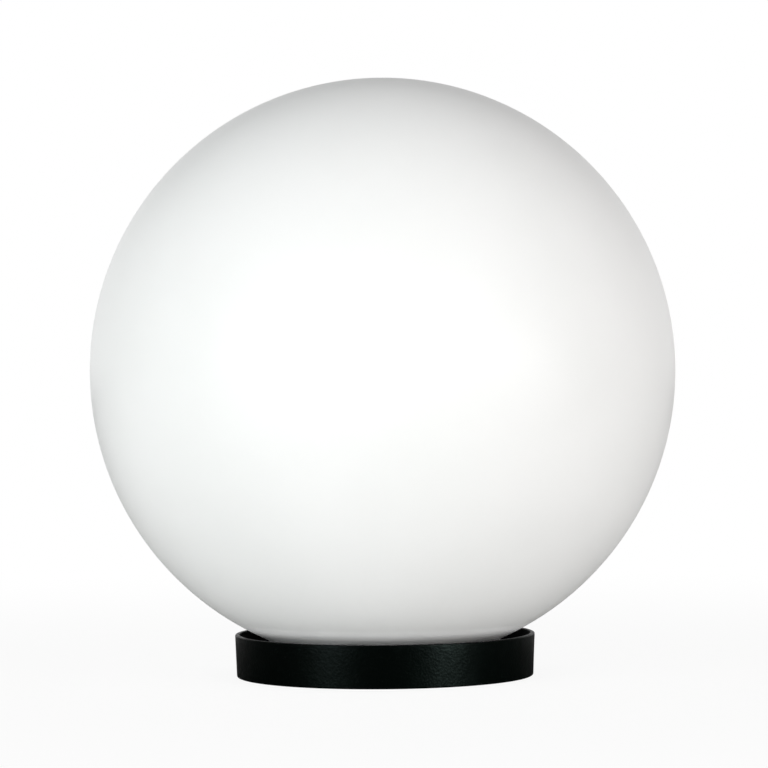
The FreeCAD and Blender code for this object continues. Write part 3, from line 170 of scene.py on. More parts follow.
@dataclass(frozen=True)
class Thread:
    """A right-hand rolled thread, in millimetres, that pushes a turned wall out from its root.

    Towards low and high it fades to a level, which is a share of its depth.
    """

    RUN: ClassVar[float] = 0.01  # height in which a wall steps to the thread's root
    SLACK: ClassVar[float] = 0.1  # how far beyond its two radii a wall still takes the thread

    pitch: float
    depth: float
    low: float
    high: float
    fade: float
    low_level: float
    high_level: float

    def lift(self, z: float, angle: float) -> float:
        """How far the wall stands out from its root.

        Args:
            z: Height of the point.
            angle: Its angle about the axis, in radians.

        Returns:
            The distance in millimetres.
        """
        wave = 0.5 + 0.5 * math.cos(math.tau * z / self.pitch - angle)
        below = min(max((z - self.low) / self.fade, 0.0), 1.0)
        above = min(max((self.high - z) / self.fade, 0.0), 1.0)
        level = self.low_level + (wave - self.low_level) * below
        return self.depth * (self.high_level + (level - self.high_level) * above)


class Shape:
    """A shape in millimetres, worked by bmesh operators."""

    MERGE: ClassVar[float] = 2e-3  # points of a CAD mesh nearer to each other than this become one
    FLAT: ClassVar[float] = 0.4  # angle in degrees up to which two faces count as one flat
    THIN: ClassVar[float] = 1e-3  # faces thinner than this are dissolved

    def __init__(self, bm: Optional[bmesh.types.BMesh] = None) -> None:
        """Take over a bmesh, or start an empty one."""
        self.bm = bm or bmesh.new()

    @classmethod
    def of_node(cls, node: str) -> "Shape":
        """Copy a CAD node's mesh, with its points merged and its flat triangles joined.

        Args:
            node: Name of the CAD node.

        Returns:
            The copy.
        """
        bm = bmesh.new()
        bm.from_mesh(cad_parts[node].data)
        bmesh.ops.scale(bm, verts=bm.verts, vec=(1 / MM,) * 3)
        bmesh.ops.remove_doubles(bm, verts=bm.verts, dist=cls.MERGE)
        flat = math.radians(cls.FLAT)
        bmesh.ops.dissolve_limit(bm, angle_limit=flat, verts=bm.verts, edges=bm.edges)
        bmesh.ops.recalc_face_normals(bm, faces=bm.faces)
        return cls(bm)

    def ease(self, width: float, segments: int = 2, above: float = 28.0) -> "Shape":
        """Round every edge that turns by more than an angle.

        Args:
            width: Width of the rounding.
            segments: Faces across it.
            above: Angle in degrees.

        Returns:
            This shape.
        """
        limit = math.radians(above)
        edges = [e for e in self.bm.edges if len(e.link_faces) == 2 and e.calc_face_angle(0.0) > limit]
        bmesh.ops.bevel(
            self.bm, geom=edges, offset=width, offset_type="OFFSET", segments=segments,
            profile=0.5, affect="EDGES", clamp_overlap=True, material=-1,
        )
        bmesh.ops.dissolve_degenerate(self.bm, dist=self.THIN, edges=self.bm.edges)
        return self

    def turned(self, degrees: float) -> "Shape":
        """Turn the shape about the Z axis.

        Args:
            degrees: The angle, anticlockwise from above.

        Returns:
            This shape.
        """
        turn = Matrix.Rotation(math.radians(degrees), 3, "Z")
        bmesh.ops.rotate(self.bm, verts=self.bm.verts, cent=(0, 0, 0), matrix=turn)
        return self

    def threaded(self, thread: Thread, inside: float, outside: float) -> "Shape":
        """Push a turned wall out by a thread.

        Args:
            thread: The thread.
            inside: The wall's inner radius.
            outside: The wall's outer radius.

        Returns:
            This shape.
        """
        for vert in self.bm.verts:
            radius = math.hypot(vert.co.x, vert.co.y)
            near = inside - thread.SLACK <= radius <= outside + thread.SLACK
            if near and thread.low <= vert.co.z <= thread.high:
                vert.co.xy *= 1 + thread.lift(vert.co.z, math.atan2(vert.co.y, vert.co.x)) / radius
        return self

    def repeated(self, angles: Sequence[float]) -> "Shape":
        """Repeat the shape round the Z axis.

        Args:
            angles: Angle in degrees of each copy.

        Returns:
            The copies as one shape.
        """
        whole, passing = Shape(), bpy.data.meshes.new("passing")
        for angle in angles:
            Shape(self.bm.copy()).turned(angle).bm.to_mesh(passing)
            whole.bm.from_mesh(passing)
        bpy.data.meshes.remove(passing)
        return whole

    def piece(self, name: str, sharp: float = 40.0) -> bpy.types.Object:
        """Make the shape an object in metres, smooth but for its sharp edges.

        Args:
            name: Name of the object.
            sharp: Angle in degrees past which an edge stays sharp.

        Returns:
            The object, which sits at the origin.
        """
        bmesh.ops.scale(self.bm, verts=self.bm.verts, vec=(MM,) * 3)
        mesh = bpy.data.meshes.new(name)
        self.bm.to_mesh(mesh)
        self.bm.free()
        mesh.shade_smooth()
        mesh.set_sharp_from_angle(angle=math.radians(sharp))
        made = bpy.data.objects.new(name, mesh)
        bpy.context.scene.collection.objects.link(made)
        weights = made.modifiers.new("face weights", "WEIGHTED_NORMAL")
        weights.keep_sharp = True
        return made


# ---- shader maths ----

Value = Union[float, "Wire"]


class Wire:
    """A node's output, on which Python's operators add Math nodes."""

    def __init__(self, graph: "Graph", socket: Optional[bpy.types.NodeSocket]) -> None:
        """Wrap a socket of a graph."""
        self.graph, self.socket = graph, socket

    def _math(self, operation: str, *values: Value) -> "Wire":
        """Add a Math node on these values."""
        return self.graph.node("ShaderNodeMath", {"operation": operation}, dict(enumerate(values)))

    def __add__(self, other: Value) -> "Wire":
        """Sum."""
        return self._math("ADD", self, other)

    def __sub__(self, other: Value) -> "Wire":
        """Difference."""
        return self._math("SUBTRACT", self, other)

    def __rsub__(self, other: Value) -> "Wire":
        """Difference with the number first."""
        return self._math("SUBTRACT", other, self)

    def __mul__(self, other: Value) -> "Wire":
        """Product."""
        return self._math("MULTIPLY", self, other)

    def __abs__(self) -> "Wire":
        """Size without sign."""
        return self._math("ABSOLUTE", self)

    def over(self, other: Value) -> "Wire":
        """The greater of two values."""
        return self._math("MAXIMUM", self, other)

    def wave(self) -> "Wire":
        """Sine of the value in radians."""
        return self._math("SINE", self)

    __radd__ = __add__
    __rmul__ = __mul__


class Graph:
    """A node tree, built up by one method."""

    EDGE: ClassVar[Span] = (0.52, 0.6)  # pointiness of a flat and of an edge
    UP: ClassVar[Span] = (0.5, 0.95)  # the normal's Z where a surface starts to look up, and where it does

    def __init__(self, tree: bpy.types.NodeTree) -> None:
        """Empty the tree and keep it."""
        tree.nodes.clear()
        self.tree = tree

    def node(
        self,
        kind: str,
        settings: Optional[Mapping[str, Any]] = None,
        inputs: Optional[Mapping[Union[str, int], Any]] = None,
        output: Union[str, int] = 0,
    ) -> Wire:
        """Add a node.

        Args:
            kind: Type name of the node.
            settings: Properties that are set first.
            inputs: A number, colour, vector or wire for each socket.
            output: The output that the wire comes from.

        Returns:
            A wire from that output.
        """
        made = self.tree.nodes.new(kind)
        for name, setting in (settings or {}).items():
            setattr(made, name, setting)
        for name, value in (inputs or {}).items():
            socket = made.inputs[name]
            if isinstance(value, Wire):
                self.tree.links.new(value.socket, socket)
            elif isinstance(value, tuple) and len(value) == 3 and socket.type == "RGBA":
                socket.default_value = (*value, 1.0)
            else:
                socket.default_value = value
        return Wire(self, made.outputs[output] if made.outputs else None)

    def place(self, scale: Point = (1.0, 1.0, 1.0)) -> Wire:
        """Object coordinates in metres, stretched."""
        spot = self.node("ShaderNodeTexCoord", output="Object")
        return self.node("ShaderNodeMapping", {}, {"Vector": spot, "Scale": scale})

    def part(self, vector: Wire, name: str) -> Wire:
        """One coordinate of a vector, by its letter."""
        return self.node("ShaderNodeSeparateXYZ", {}, {0: vector}, name)

    def axis(self, name: str) -> Wire:
        """One object coordinate in metres, by its letter."""
        return self.part(self.place(), name)

    def distance(self) -> Wire:
        """Distance from the Z axis in metres."""
        flat = self.place((1.0, 1.0, 0.0))
        return self.node("ShaderNodeVectorMath", {"operation": "LENGTH"}, {0: flat}, "Value")

    def noise(self, size: float, detail: float, rough: float, stretch: Point = (1.0, 1.0, 1.0)) -> Wire:
        """Noise whose features have a size in millimetres.

        Args:
            size: Width of a feature.
            detail: Octaves.
            rough: How strong the fine octaves are.
            stretch: Frequency along each axis, as a share.

        Returns:
            The noise, from 0 to 1.
        """
        spot = self.place(stretch)
        inputs = {"Vector": spot, "Scale": 1 / MM / size, "Detail": detail, "Roughness": rough}
        return self.node("ShaderNodeTexNoise", {}, inputs)

    def patches(self, size: float, detail: float, rough: float, low: float, high: float) -> Wire:
        """Noise in patches: 0 where it is under low, 1 where it is over high."""
        return self.ramp(self.noise(size, detail, rough), (low, high))

    def cells(self, size: float, output: str = "Distance") -> Wire:
        """Distance to the nearest of points scattered a size in millimetres apart, or its colour."""
        inputs = {"Vector": self.place(), "Scale": 1 / MM / size}
        return self.node("ShaderNodeTexVoronoi", {}, inputs, output)

    def ramp(self, value: Value, span: Span, to: Span = (0.0, 1.0)) -> Wire:
        """Ease a value from one range to another, and stop at its ends."""
        inputs = {0: value, 1: span[0], 2: span[1], 3: to[0], 4: to[1]}
        return self.node("ShaderNodeMapRange", {"interpolation_type": "SMOOTHSTEP"}, inputs)

    def mix(self, share: Value, first: Any, second: Any) -> Wire:
        """Mix two colours."""
        inputs = {0: share, 6: first, 7: second}
        return self.node("ShaderNodeMix", {"data_type": "RGBA"}, inputs, 2)

    def merge(self, share: Wire, first: Wire, second: Wire) -> Wire:
        """Mix two shaders."""
        return self.node("ShaderNodeMixShader", {}, {0: share, 1: first, 2: second})

    def bump(self, height: Wire, depth: float) -> Wire:
        """A normal from a height of 0 to 1 that stands for a depth in millimetres."""
        inputs = {"Strength": 1.0, "Distance": depth * MM, "Height": height}
        return self.node("ShaderNodeBump", {}, inputs)

    def edges(self) -> Wire:
        """How much the surface sticks out, from 0 on a flat to 1 on an edge."""
        return self.ramp(self.node("ShaderNodeNewGeometry", output="Pointiness"), self.EDGE)

    def facing_up(self) -> Wire:
        """1 where the surface looks up, 0 on walls and undersides."""
        normal = self.node("ShaderNodeTexCoord", output="Normal")
        return self.ramp(self.part(normal, "Z"), self.UP)

    def seen_by(self, *rays: str) -> Wire:
        """Tell some kinds of ray from the others.

        Args:
            rays: Outputs of Light Path.

        Returns:
            1 for these kinds and 0 for the others.
        """
        found = self.node("ShaderNodeLightPath", output=rays[0])
        for ray in rays[1:]:
            found = found.over(self.node("ShaderNodeLightPath", output=ray))
        return found


# ---- finishes ----

Inputs = Dict[str, Any]  # a shader's inputs, by socket name


@dataclass(frozen=True)
class Finish:
    """A surface finish. Noises, cells and depths are in millimetres, and heights and radii in metres."""

    slot: str

    def shade(self, graph: Graph) -> Inputs:
        """Say what varies over the surface.

        Args:
            graph: The material's nodes.

        Returns:
            The shader's inputs.
        """
        raise NotImplementedError

    def material(self) -> bpy.types.Material:
        """The finish as a material, made once and then shared.

        Returns:
            The material.
        """
        name = self.slot + "_finish"
        if name in bpy.data.materials:
            return bpy.data.materials[name]
        made = bpy.data.materials.new(name)
        made.use_nodes = True
        graph = Graph(made.node_tree)
        shader = graph.node("ShaderNodeBsdfPrincipled", {}, self.shade(graph))
        graph.node("ShaderNodeOutputMaterial", {}, {"Surface": shader})
        return made

    def dress(self, made: bpy.types.Object) -> None:
        """Give an object this finish alone."""
        made.data.materials.clear()
        made.data.materials.append(self.material())


@dataclass(frozen=True)
class OpalAcrylic(Finish):
    """Glossy moulded opal plastic, dense enough to hide the lamp.

    A painted glow, an emission in a band just above the gallery's rim, lights its foot where the rim's
    shade falls.
    """

    tint: Colour = (0.94, 0.943, 0.94)
    cloudy: Colour = (0.915, 0.92, 0.915)
    flow: Patches = (70.0, 2.0, 0.4, 0.35, 0.75)
    roughness: float = 0.285
    haze: Noise = (9.0, 3.0, 0.55)
    haze_share: float = 0.04
    swell: Noise = (26.0, 1.0, 0.3)
    peel: Noise = (1.4, 2.0, 0.5)
    peel_share: float = 0.012
    depth: float = 0.06
    index: float = 1.49
    gloss: float = 0.38
    # strength of the painted glow at the foot
    painted_glow_strength: float = 0.155
    painted_glow_low: Span = (0.0215, 0.0255)
    painted_glow_high: Span = (0.0255, 0.0295)

    def shade(self, graph: Graph) -> Inputs:
        """Faint flow clouds, a gloss that waves as moulded plastic does, and a painted glow in a band at
        the foot.

        Args:
            graph: The material's nodes.

        Returns:
            The shader's inputs.
        """
        height = graph.noise(*self.swell) + graph.noise(*self.peel) * self.peel_share
        level = graph.axis("Z")
        # painted glow: emission in a band just above the rim, where the rim's shade falls
        painted_glow_band = graph.ramp(level, self.painted_glow_low) * graph.ramp(level, self.painted_glow_high, FALLING)
        return {
            "Base Color": graph.mix(graph.patches(*self.flow), self.tint, self.cloudy),
            "Roughness": self.roughness + graph.noise(*self.haze) * self.haze_share,
            "Normal": graph.bump(height, self.depth),
            "IOR": self.index,
            "Specular IOR Level": self.gloss,
            "Emission Color": graph.mix(painted_glow_band, BLACK, self.tint),
            "Emission Strength": self.painted_glow_strength,
        }


@dataclass(frozen=True)
class GrainedPlastic(Finish):
    """Black moulded plastic with a fine grain: satin outside, matt inside, dusty where dust can lie."""

    tint: Colour = (0.0003, 0.0008, 0.0006)
    dust: Colour = (0.016, 0.0165, 0.016)
    worn: Colour = (0.012, 0.014, 0.0135)
    gloss: float = 0.055
    rim: Span = (0.0745, 0.0751)
    cell: float = 1.2
    cell_share: float = 0.6
    grain: Noise = (0.54, 2.0, 0.6)
    depth: float = 0.09
    wear: Patches = (3.0, 3.0, 0.7, 0.45, 0.65)
    wear_share: float = 0.35
    fall: Patches = (5.0, 5.0, 0.7, 0.42, 0.8)
    dust_share: float = 0.5
    roughness: float = 0.28
    cloud: Noise = (16.0, 4.0, 0.6)
    cloud_rough: float = 0.05
    dust_rough: float = 0.3
    inside_rough: float = 0.42

    def shade(self, graph: Graph) -> Inputs:
        """Grain from cells and noise, wear on the edges and dust on what faces up.

        Args:
            graph: The material's nodes.

        Returns:
            The shader's inputs.
        """
        grain = graph.cells(self.cell) * self.cell_share + graph.noise(*self.grain) * (1 - self.cell_share)
        worn = graph.edges() * graph.patches(*self.wear)
        dusty = graph.facing_up() * graph.patches(*self.fall)
        inside = graph.ramp(graph.distance(), self.rim, FALLING)
        matt = (dusty * self.dust_rough).over(inside * self.inside_rough)
        base = graph.mix(worn * self.wear_share, self.tint, self.worn)
        return {
            "Base Color": graph.mix(dusty * self.dust_share, base, self.dust),
            "Roughness": self.roughness + graph.noise(*self.cloud) * self.cloud_rough + matt,
            "Normal": graph.bump(grain, self.depth),
            "Specular IOR Level": self.gloss,
        }


@dataclass(frozen=True)
class SealRubber(Finish):
    """Matt rubber with a little bloom."""

    tint: Colour = (0.02, 0.02, 0.021)
    bloom: Colour = (0.11, 0.11, 0.108)
    patch: Patches = (4.0, 4.0, 0.65, 0.5, 0.8)
    bloom_share: float = 0.4
    pit: Noise = (0.35, 3.0, 0.6)
    roughness: float = 0.62
    pit_rough: float = 0.2
    depth: float = 0.02

    def shade(self, graph: Graph) -> Inputs:
        """Bloom in patches on a pitted skin.

        Args:
            graph: The material's nodes.

        Returns:
            The shader's inputs.
        """
        pits = graph.noise(*self.pit)
        return {
            "Base Color": graph.mix(graph.patches(*self.patch) * self.bloom_share, self.tint, self.bloom),
            "Roughness": self.roughness + pits * self.pit_rough,
            "Normal": graph.bump(pits, self.depth),
        }


@dataclass(frozen=True)
class Metal(Finish):
    """Bare or plated metal with tool marks, tarnish and handled edges."""

    tint: Colour
    tarnish: Colour
    roughness: float
    stretch: Point = (1.0, 1.0, 14.0)
    mark: Noise = (1.6, 3.0, 0.6)
    depth: float = 0.008
    patch: Patches = (6.0, 5.0, 0.65, 0.45, 0.75)
    tarnish_share: float = 0.7
    mark_rough: float = 0.14
    patch_rough: float = 0.1
    edge_polish: float = 0.08

    def shade(self, graph: Graph) -> Inputs:
        """Streaks along the tool's way, tarnish in patches and bright edges.

        Args:
            graph: The material's nodes.

        Returns:
            The shader's inputs.
        """
        mark = graph.noise(*self.mark, self.stretch)
        patch = graph.patches(*self.patch)
        bright = graph.edges()
        dull = self.roughness + mark * self.mark_rough + patch * self.patch_rough
        return {
            "Base Color": graph.mix(patch * (1 - bright) * self.tarnish_share, self.tint, self.tarnish),
            "Metallic": 1.0,
            "Roughness": dull - bright * self.edge_polish,
            "Normal": graph.bump(mark, self.depth),
        }


@dataclass(frozen=True)
class ZincSheet(Finish):
    """Galvanised sheet with its spangle."""

    tint: Colour = (0.5, 0.51, 0.52)
    second: Colour = (0.36, 0.37, 0.39)
    spangle: float = 7.0
    metallic: float = 0.9
    line: Noise = (0.8, 2.0, 0.5)
    line_stretch: Point = (1.0, 12.0, 1.0)
    rub: Patches = (11.0, 4.0, 0.6, 0.5, 0.8)
    roughness: float = 0.36
    tone_rough: float = 0.16
    rub_rough: float = 0.12
    tone_height: float = 0.3
    depth: float = 0.006

    def shade(self, graph: Graph) -> Inputs:
        """Spangle cells of two greys, with rolling lines and a few rubbed spots.

        Args:
            graph: The material's nodes.

        Returns:
            The shader's inputs.
        """
        tone = graph.part(graph.cells(self.spangle, "Color"), "X")
        rolled = graph.noise(*self.line, self.line_stretch)
        rubbed = graph.patches(*self.rub)
        height = tone * self.tone_height + rolled * (1 - self.tone_height)
        return {
            "Base Color": graph.mix(tone, self.tint, self.second),
            "Metallic": self.metallic,
            "Roughness": self.roughness + tone * self.tone_rough + rubbed * self.rub_rough,
            "Normal": graph.bump(height, self.depth),
        }


@dataclass(frozen=True)
class GlazedPorcelain(Finish):
    """White glaze over electrical porcelain, thinner and greyer on its edges."""

    glaze: Colour = (0.78, 0.77, 0.73)
    body: Colour = (0.66, 0.62, 0.55)
    iron: Colour = (0.25, 0.2, 0.15)
    thin_share: float = 0.5
    speck: float = 5.0
    speck_span: Span = (0.05, 0.02)
    speck_share: float = 0.5
    swell: Noise = (7.0, 2.0, 0.5)
    roughness: float = 0.12
    swell_rough: float = 0.06
    thin_rough: float = 0.3
    depth: float = 0.05
    soft: float = 0.08
    soft_reach: Point = (0.002, 0.0018, 0.0015)

    def shade(self, graph: Graph) -> Inputs:
        """Thin glaze on the edges, a few iron specks and a slow wave in the surface.

        Args:
            graph: The material's nodes.

        Returns:
            The shader's inputs.
        """
        thin = graph.edges() * self.thin_share
        specks = graph.ramp(graph.cells(self.speck), self.speck_span)
        base = graph.mix(thin, self.glaze, self.body)
        swell = graph.noise(*self.swell)
        return {
            "Base Color": graph.mix(specks * self.speck_share, base, self.iron),
            "Roughness": self.roughness + swell * self.swell_rough + thin * self.thin_rough,
            "Normal": graph.bump(swell, self.depth),
            "Subsurface Weight": self.soft,
            "Subsurface Radius": self.soft_reach,
        }


@dataclass(frozen=True)
class Moulding(Finish):
    """A plain plastic moulding in any colour, lightly scuffed."""

    tint: Colour
    scuffed: Colour
    roughness: float
    soft: float = 0.0
    soft_reach: Point = (0.0015, 0.0014, 0.0012)
    scuff: Patches = (8.0, 4.0, 0.6, 0.6, 0.85)
    scuff_share: float = 0.4
    edge_share: float = 0.6
    grain: Noise = (0.4, 2.0, 0.6)
    grain_rough: float = 0.1
    scuff_rough: float = 0.1
    depth: float = 0.008

    def shade(self, graph: Graph) -> Inputs:
        """Fine grain, with scuffs on the edges and in patches.

        Args:
            graph: The material's nodes.

        Returns:
            The shader's inputs.
        """
        grain = graph.noise(*self.grain)
        scuff = (graph.edges() * self.edge_share).over(graph.patches(*self.scuff) * self.scuff_share)
        return {
            "Base Color": graph.mix(scuff, self.tint, self.scuffed),
            "Roughness": self.roughness + grain * self.grain_rough + scuff * self.scuff_rough,
            "Normal": graph.bump(grain, self.depth),
            "Subsurface Weight": self.soft,
            "Subsurface Radius": self.soft_reach,
        }


@dataclass(frozen=True)
class Insulation(Finish):
    """Extruded lead insulation, with a second colour in stripes where it has one."""

    tint: Colour
    stripe: Optional[Colour] = None
    twist: float = 9.0
    stripe_edge: Span = (-0.1, 0.1)
    bloom: Colour = (0.02, 0.02, 0.02)
    bloom_tint: float = 0.6
    cloud: Patches = (5.0, 3.0, 0.6, 0.4, 0.8)
    cloud_share: float = 0.35
    line: Noise = (0.5, 2.0, 0.5)
    roughness: float = 0.36
    line_rough: float = 0.14
    depth: float = 0.012

    def shade(self, graph: Graph) -> Inputs:
        """Die lines, a faint bloom and the stripe, which winds round the lead.

        Args:
            graph: The material's nodes.

        Returns:
            The shader's inputs.
        """
        lines = graph.noise(*self.line)
        faded = tuple(tint * self.bloom_tint + bloom for tint, bloom in zip(self.tint, self.bloom))
        base = graph.mix(graph.patches(*self.cloud) * self.cloud_share, self.tint, faded)
        if self.stripe:
            slant = (graph.axis("X") + graph.axis("Y") + graph.axis("Z")) * (math.tau / (self.twist * MM))
            base = graph.mix(graph.ramp(slant.wave(), self.stripe_edge), base, self.stripe)
        return {
            "Base Color": base,
            "Roughness": self.roughness + lines * self.line_rough,
            "Normal": graph.bump(lines, self.depth),
        }


@dataclass(frozen=True)
class FrostedDiffuser(Finish):
    """Milky lamp diffuser with a fine etched frost."""

    tint: Colour = (0.86, 0.86, 0.84)
    deep: Colour = (0.8, 0.8, 0.76)
    deep_span: Span = (0.15, 0.185)
    frost: Noise = (0.3, 2.0, 0.7)
    roughness: float = 0.42
    frost_rough: float = 0.16
    depth: float = 0.012
    soft: float = 0.35
    soft_reach: Point = (0.004, 0.004, 0.0035)

    def shade(self, graph: Graph) -> Inputs:
        """Frost in the gloss and the normal, and a deeper colour towards the lamp's body.

        Args:
            graph: The material's nodes.

        Returns:
            The shader's inputs.
        """
        frost = graph.noise(*self.frost)
        dense = graph.ramp(graph.axis("Z"), self.deep_span, FALLING)
        return {
            "Base Color": graph.mix(dense, self.tint, self.deep),
            "Roughness": self.roughness + frost * self.frost_rough,
            "Normal": graph.bump(frost, self.depth),
            "Subsurface Weight": self.soft,
            "Subsurface Radius": self.soft_reach,
        }


@dataclass(frozen=True)
class BoardCoating(Finish):
    """White solder mask over a board, with the copper under it showing through."""

    tint: Colour = (0.78, 0.79, 0.77)
    copper: Colour = (0.62, 0.6, 0.52)
    gap: float = 0.013
    gap_edge: Span = (0.0012, 0.0018)
    copper_share: float = 0.4
    peel: Noise = (0.6, 2.0, 0.5)
    roughness: float = 0.3
    peel_rough: float = 0.15
    peel_height: float = 0.2
    depth: float = 0.03

    def shade(self, graph: Graph) -> Inputs:
        """Copper all over but for a gap in a ring, and a fine orange peel.

        Args:
            graph: The material's nodes.

        Returns:
            The shader's inputs.
        """
        copper = graph.ramp(abs(graph.distance() - self.gap), self.gap_edge)
        peel = graph.noise(*self.peel)
        return {
            "Base Color": graph.mix(copper * self.copper_share, self.tint, self.copper),
            "Roughness": self.roughness + peel * self.peel_rough,
            "Normal": graph.bump(copper * (1 - self.peel_height) + peel * self.peel_height, self.depth),
        }


OPAL = OpalAcrylic("opal_globe")
GALLERY_BLACK = GrainedPlastic("gallery_black")
RUBBER = SealRubber("seal_rubber")
ZINC_PLATE = Metal("plated_steel", (0.62, 0.64, 0.66), (0.5, 0.5, 0.46), 0.24)
TRAY_SHEET = ZincSheet("tray_steel")
PORCELAIN = GlazedPorcelain("porcelain")
NICKEL = Metal("nickel", (0.62, 0.58, 0.52), (0.48, 0.44, 0.38), 0.2)
SPRING_BRASS = Metal("contact_brass", (0.72, 0.5, 0.22), (0.45, 0.3, 0.14), 0.24, (1.0, 12.0, 1.0))
TURNED_BRASS = Metal("terminal_brass", (0.74, 0.54, 0.26), (0.5, 0.35, 0.17), 0.2)
TINNED = Metal("tag_tin", (0.66, 0.66, 0.65), (0.5, 0.5, 0.49), 0.34, (1.0, 1.0, 3.0))
CAP_METAL = Metal("lamp_cap_metal", (0.74, 0.74, 0.73), (0.6, 0.6, 0.58), 0.22, (1.0, 1.0, 8.0))
NYLON = Moulding("block_nylon", (0.7, 0.68, 0.6), (0.6, 0.58, 0.5), 0.38, 0.25)
CAP_GLASS = Moulding("lamp_insulator_black", (0.012, 0.012, 0.016), (0.03, 0.03, 0.035), 0.12)
LAMP_WHITE = Moulding("lamp_white", (0.8, 0.8, 0.79), (0.7, 0.7, 0.68), 0.3)
LAMP_FROST = FrostedDiffuser("lamp_frost")
BOARD_WHITE = BoardCoating("board_white")
PHOSPHOR = Moulding("chip_phosphor", (0.78, 0.6, 0.08), (0.7, 0.52, 0.06), 0.3)
BROWN = Insulation("lead_brown", (0.13, 0.05, 0.022))
BLUE = Insulation("lead_blue", (0.02, 0.1, 0.42))
GREEN_YELLOW = Insulation("lead_green_yellow", (0.05, 0.28, 0.06), (0.72, 0.62, 0.04))


# ---- sub-assemblies ----


class Body(Enum):
    """The bodies that a piece may ride on."""

    GALLERY = "gallery"
    SEAL = "neck_seal"
    GLOBE = "globe"
    LAMP_TIP = "lamp_tip"
    LAMP = "lamp"


def settle(made: bpy.types.Object, body: Body, finish: Finish, *nodes: str) -> None:
    """Dress a new piece and hand it to its body.

    Args:
        made: The piece.
        body: Body that it rides on.
        finish: Its finish.
        nodes: CAD nodes that it stands for.
    """
    finish.dress(made)
    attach(made, body.value)
    if nodes:
        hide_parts(*nodes)
    LOG.info("%s: %d faces on %s", made.name, len(made.data.polygons), body.value)


BROAD = 3  # faces across a broad rounding


def settle_eased(
    finish: Finish, nodes: Sequence[str], width: float = 0.2, segments: int = 2, body: Body = Body.GALLERY
) -> None:
    """Replace CAD nodes by copies that keep their shape and get eased edges.

    Args:
        finish: Their finish.
        nodes: The nodes.
        width: Width of each rounding.
        segments: Faces across it.
        body: Body that they ride on.
    """
    for node in nodes:
        made = Shape.of_node(node).ease(width, segments).piece(node + "_eased")
        settle(made, body, finish, node)


@dataclass
class Globe:
    """The opal globe with its neck and three bayonet lugs."""

    radius: float = 150.0
    wall: float = 2.5
    neck_radius: float = 59.0
    neck_wall: float = 3.0
    neck_end: float = field(default_factory=lambda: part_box("globe")[0][2] / MM)
    top: float = field(default_factory=lambda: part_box("globe")[1][2] / MM)
    mouth_round: float = 0.7
    blend: float = 3.0
    outer_steps: int = 132
    blend_steps: int = 8
    inner_steps: int = 96
    steps: int = 192
    lug_lift: float = 0.8
    lug_height: float = 2.6
    lug_reach: float = 4.0
    lug_angle: float = 24.0
    lug_places: Tuple[float, ...] = (0.0, 120.0, 240.0)
    lug_steps: int = 12
    lug_ease: float = 0.5
    lug_sharp: float = 50.0

    def shell(self) -> Shape:
        """The wall, turned from its outline: outer sphere, blend, neck and inner sphere.

        Returns:
            The shell.
        """
        inner, bore = self.radius - self.wall, self.neck_radius - self.neck_wall
        blend_x, centre = self.neck_radius + self.blend, self.top - self.radius
        drop = math.acos(blend_x / (self.radius + self.blend))
        blend_z = centre - (self.radius + self.blend) * math.sin(drop)
        inner_drop = math.acos(bore / inner)
        outline = Profile(0.0, self.top)
        outline.arc(0.0, centre, -90.0 - math.degrees(drop), self.outer_steps)
        outline.arc(blend_x, blend_z, math.degrees(drop), self.blend_steps)
        outline.line(self.neck_radius, self.neck_end, self.mouth_round)
        outline.line(bore, self.neck_end, self.mouth_round)
        outline.line(bore, centre - inner * math.sin(inner_drop))
        outline.arc(0.0, centre, 90.0 + math.degrees(inner_drop), self.inner_steps)
        return outline.turn(self.steps)

    def lugs(self) -> Shape:
        """The lugs, each with eased edges and its root inside the neck's wall.

        Returns:
            The lugs.
        """
        root, tip = self.neck_radius - self.neck_wall / 2, self.neck_radius + self.lug_reach
        low = self.neck_end + self.lug_lift
        high = low + self.lug_height
        outline = Profile(root, low).line(tip, low).line(tip, high).line(root, high).close()
        lug = outline.turn(self.lug_steps, -self.lug_angle / 2, self.lug_angle)
        return lug.ease(self.lug_ease, BROAD, self.lug_sharp).repeated(self.lug_places)

    def build(self) -> None:
        """Make the globe's pieces."""
        settle(self.shell().piece("globe_shell"), Body.GLOBE, OPAL, "globe")
        settle(self.lugs().piece("globe_lugs"), Body.GLOBE, OPAL)


@dataclass
class NeckGasket:
    """The ring that seals the neck on the gallery's floor."""

    inner: float = 55.6
    outer: float = 59.0
    low: float = field(default_factory=lambda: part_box("neck_gasket")[0][2] / MM)
    high: float = field(default_factory=lambda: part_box("neck_gasket")[1][2] / MM)
    valley: float = 0.5
    ease: float = 0.3
    steps: int = 144

    def build(self) -> None:
        """Turn the ring with two lips on its underside."""
        middle, valley = (self.inner + self.outer) / 2, self.low + self.valley
        outline = Profile(self.inner, self.high, self.ease).line(self.inner, valley, self.ease)
        outline.line((self.inner + middle) / 2, self.low, self.ease).line(middle, valley, self.ease)
        outline.line((self.outer + middle) / 2, self.low, self.ease)
        outline.line(self.outer, valley, self.ease).line(self.outer, self.high, self.ease).close()
        settle(outline.turn(self.steps).piece("gasket_ring"), Body.SEAL, RUBBER, "neck_gasket")


@dataclass
class Gallery:
    """The black moulding that holds the globe and grips the post."""

    PIECE: ClassVar[str] = "gallery_moulding"
    edge: float = 0.35
    sharp: float = 35.0
    grommet_edge: float = 0.5

    def build(self) -> None:
        """Ease the moulding's edges and dress its clamp screws, nuts and grommet."""
        made = Shape.of_node("gallery_base").ease(self.edge).piece(self.PIECE, self.sharp)
        settle(made, Body.GALLERY, GALLERY_BLACK, "gallery_base")
        settle_eased(ZINC_PLATE, ("post_clamp_screws", "post_clamp_nuts"))
        settle_eased(RUBBER, ("cable_grommet",), self.grommet_edge, BROAD)


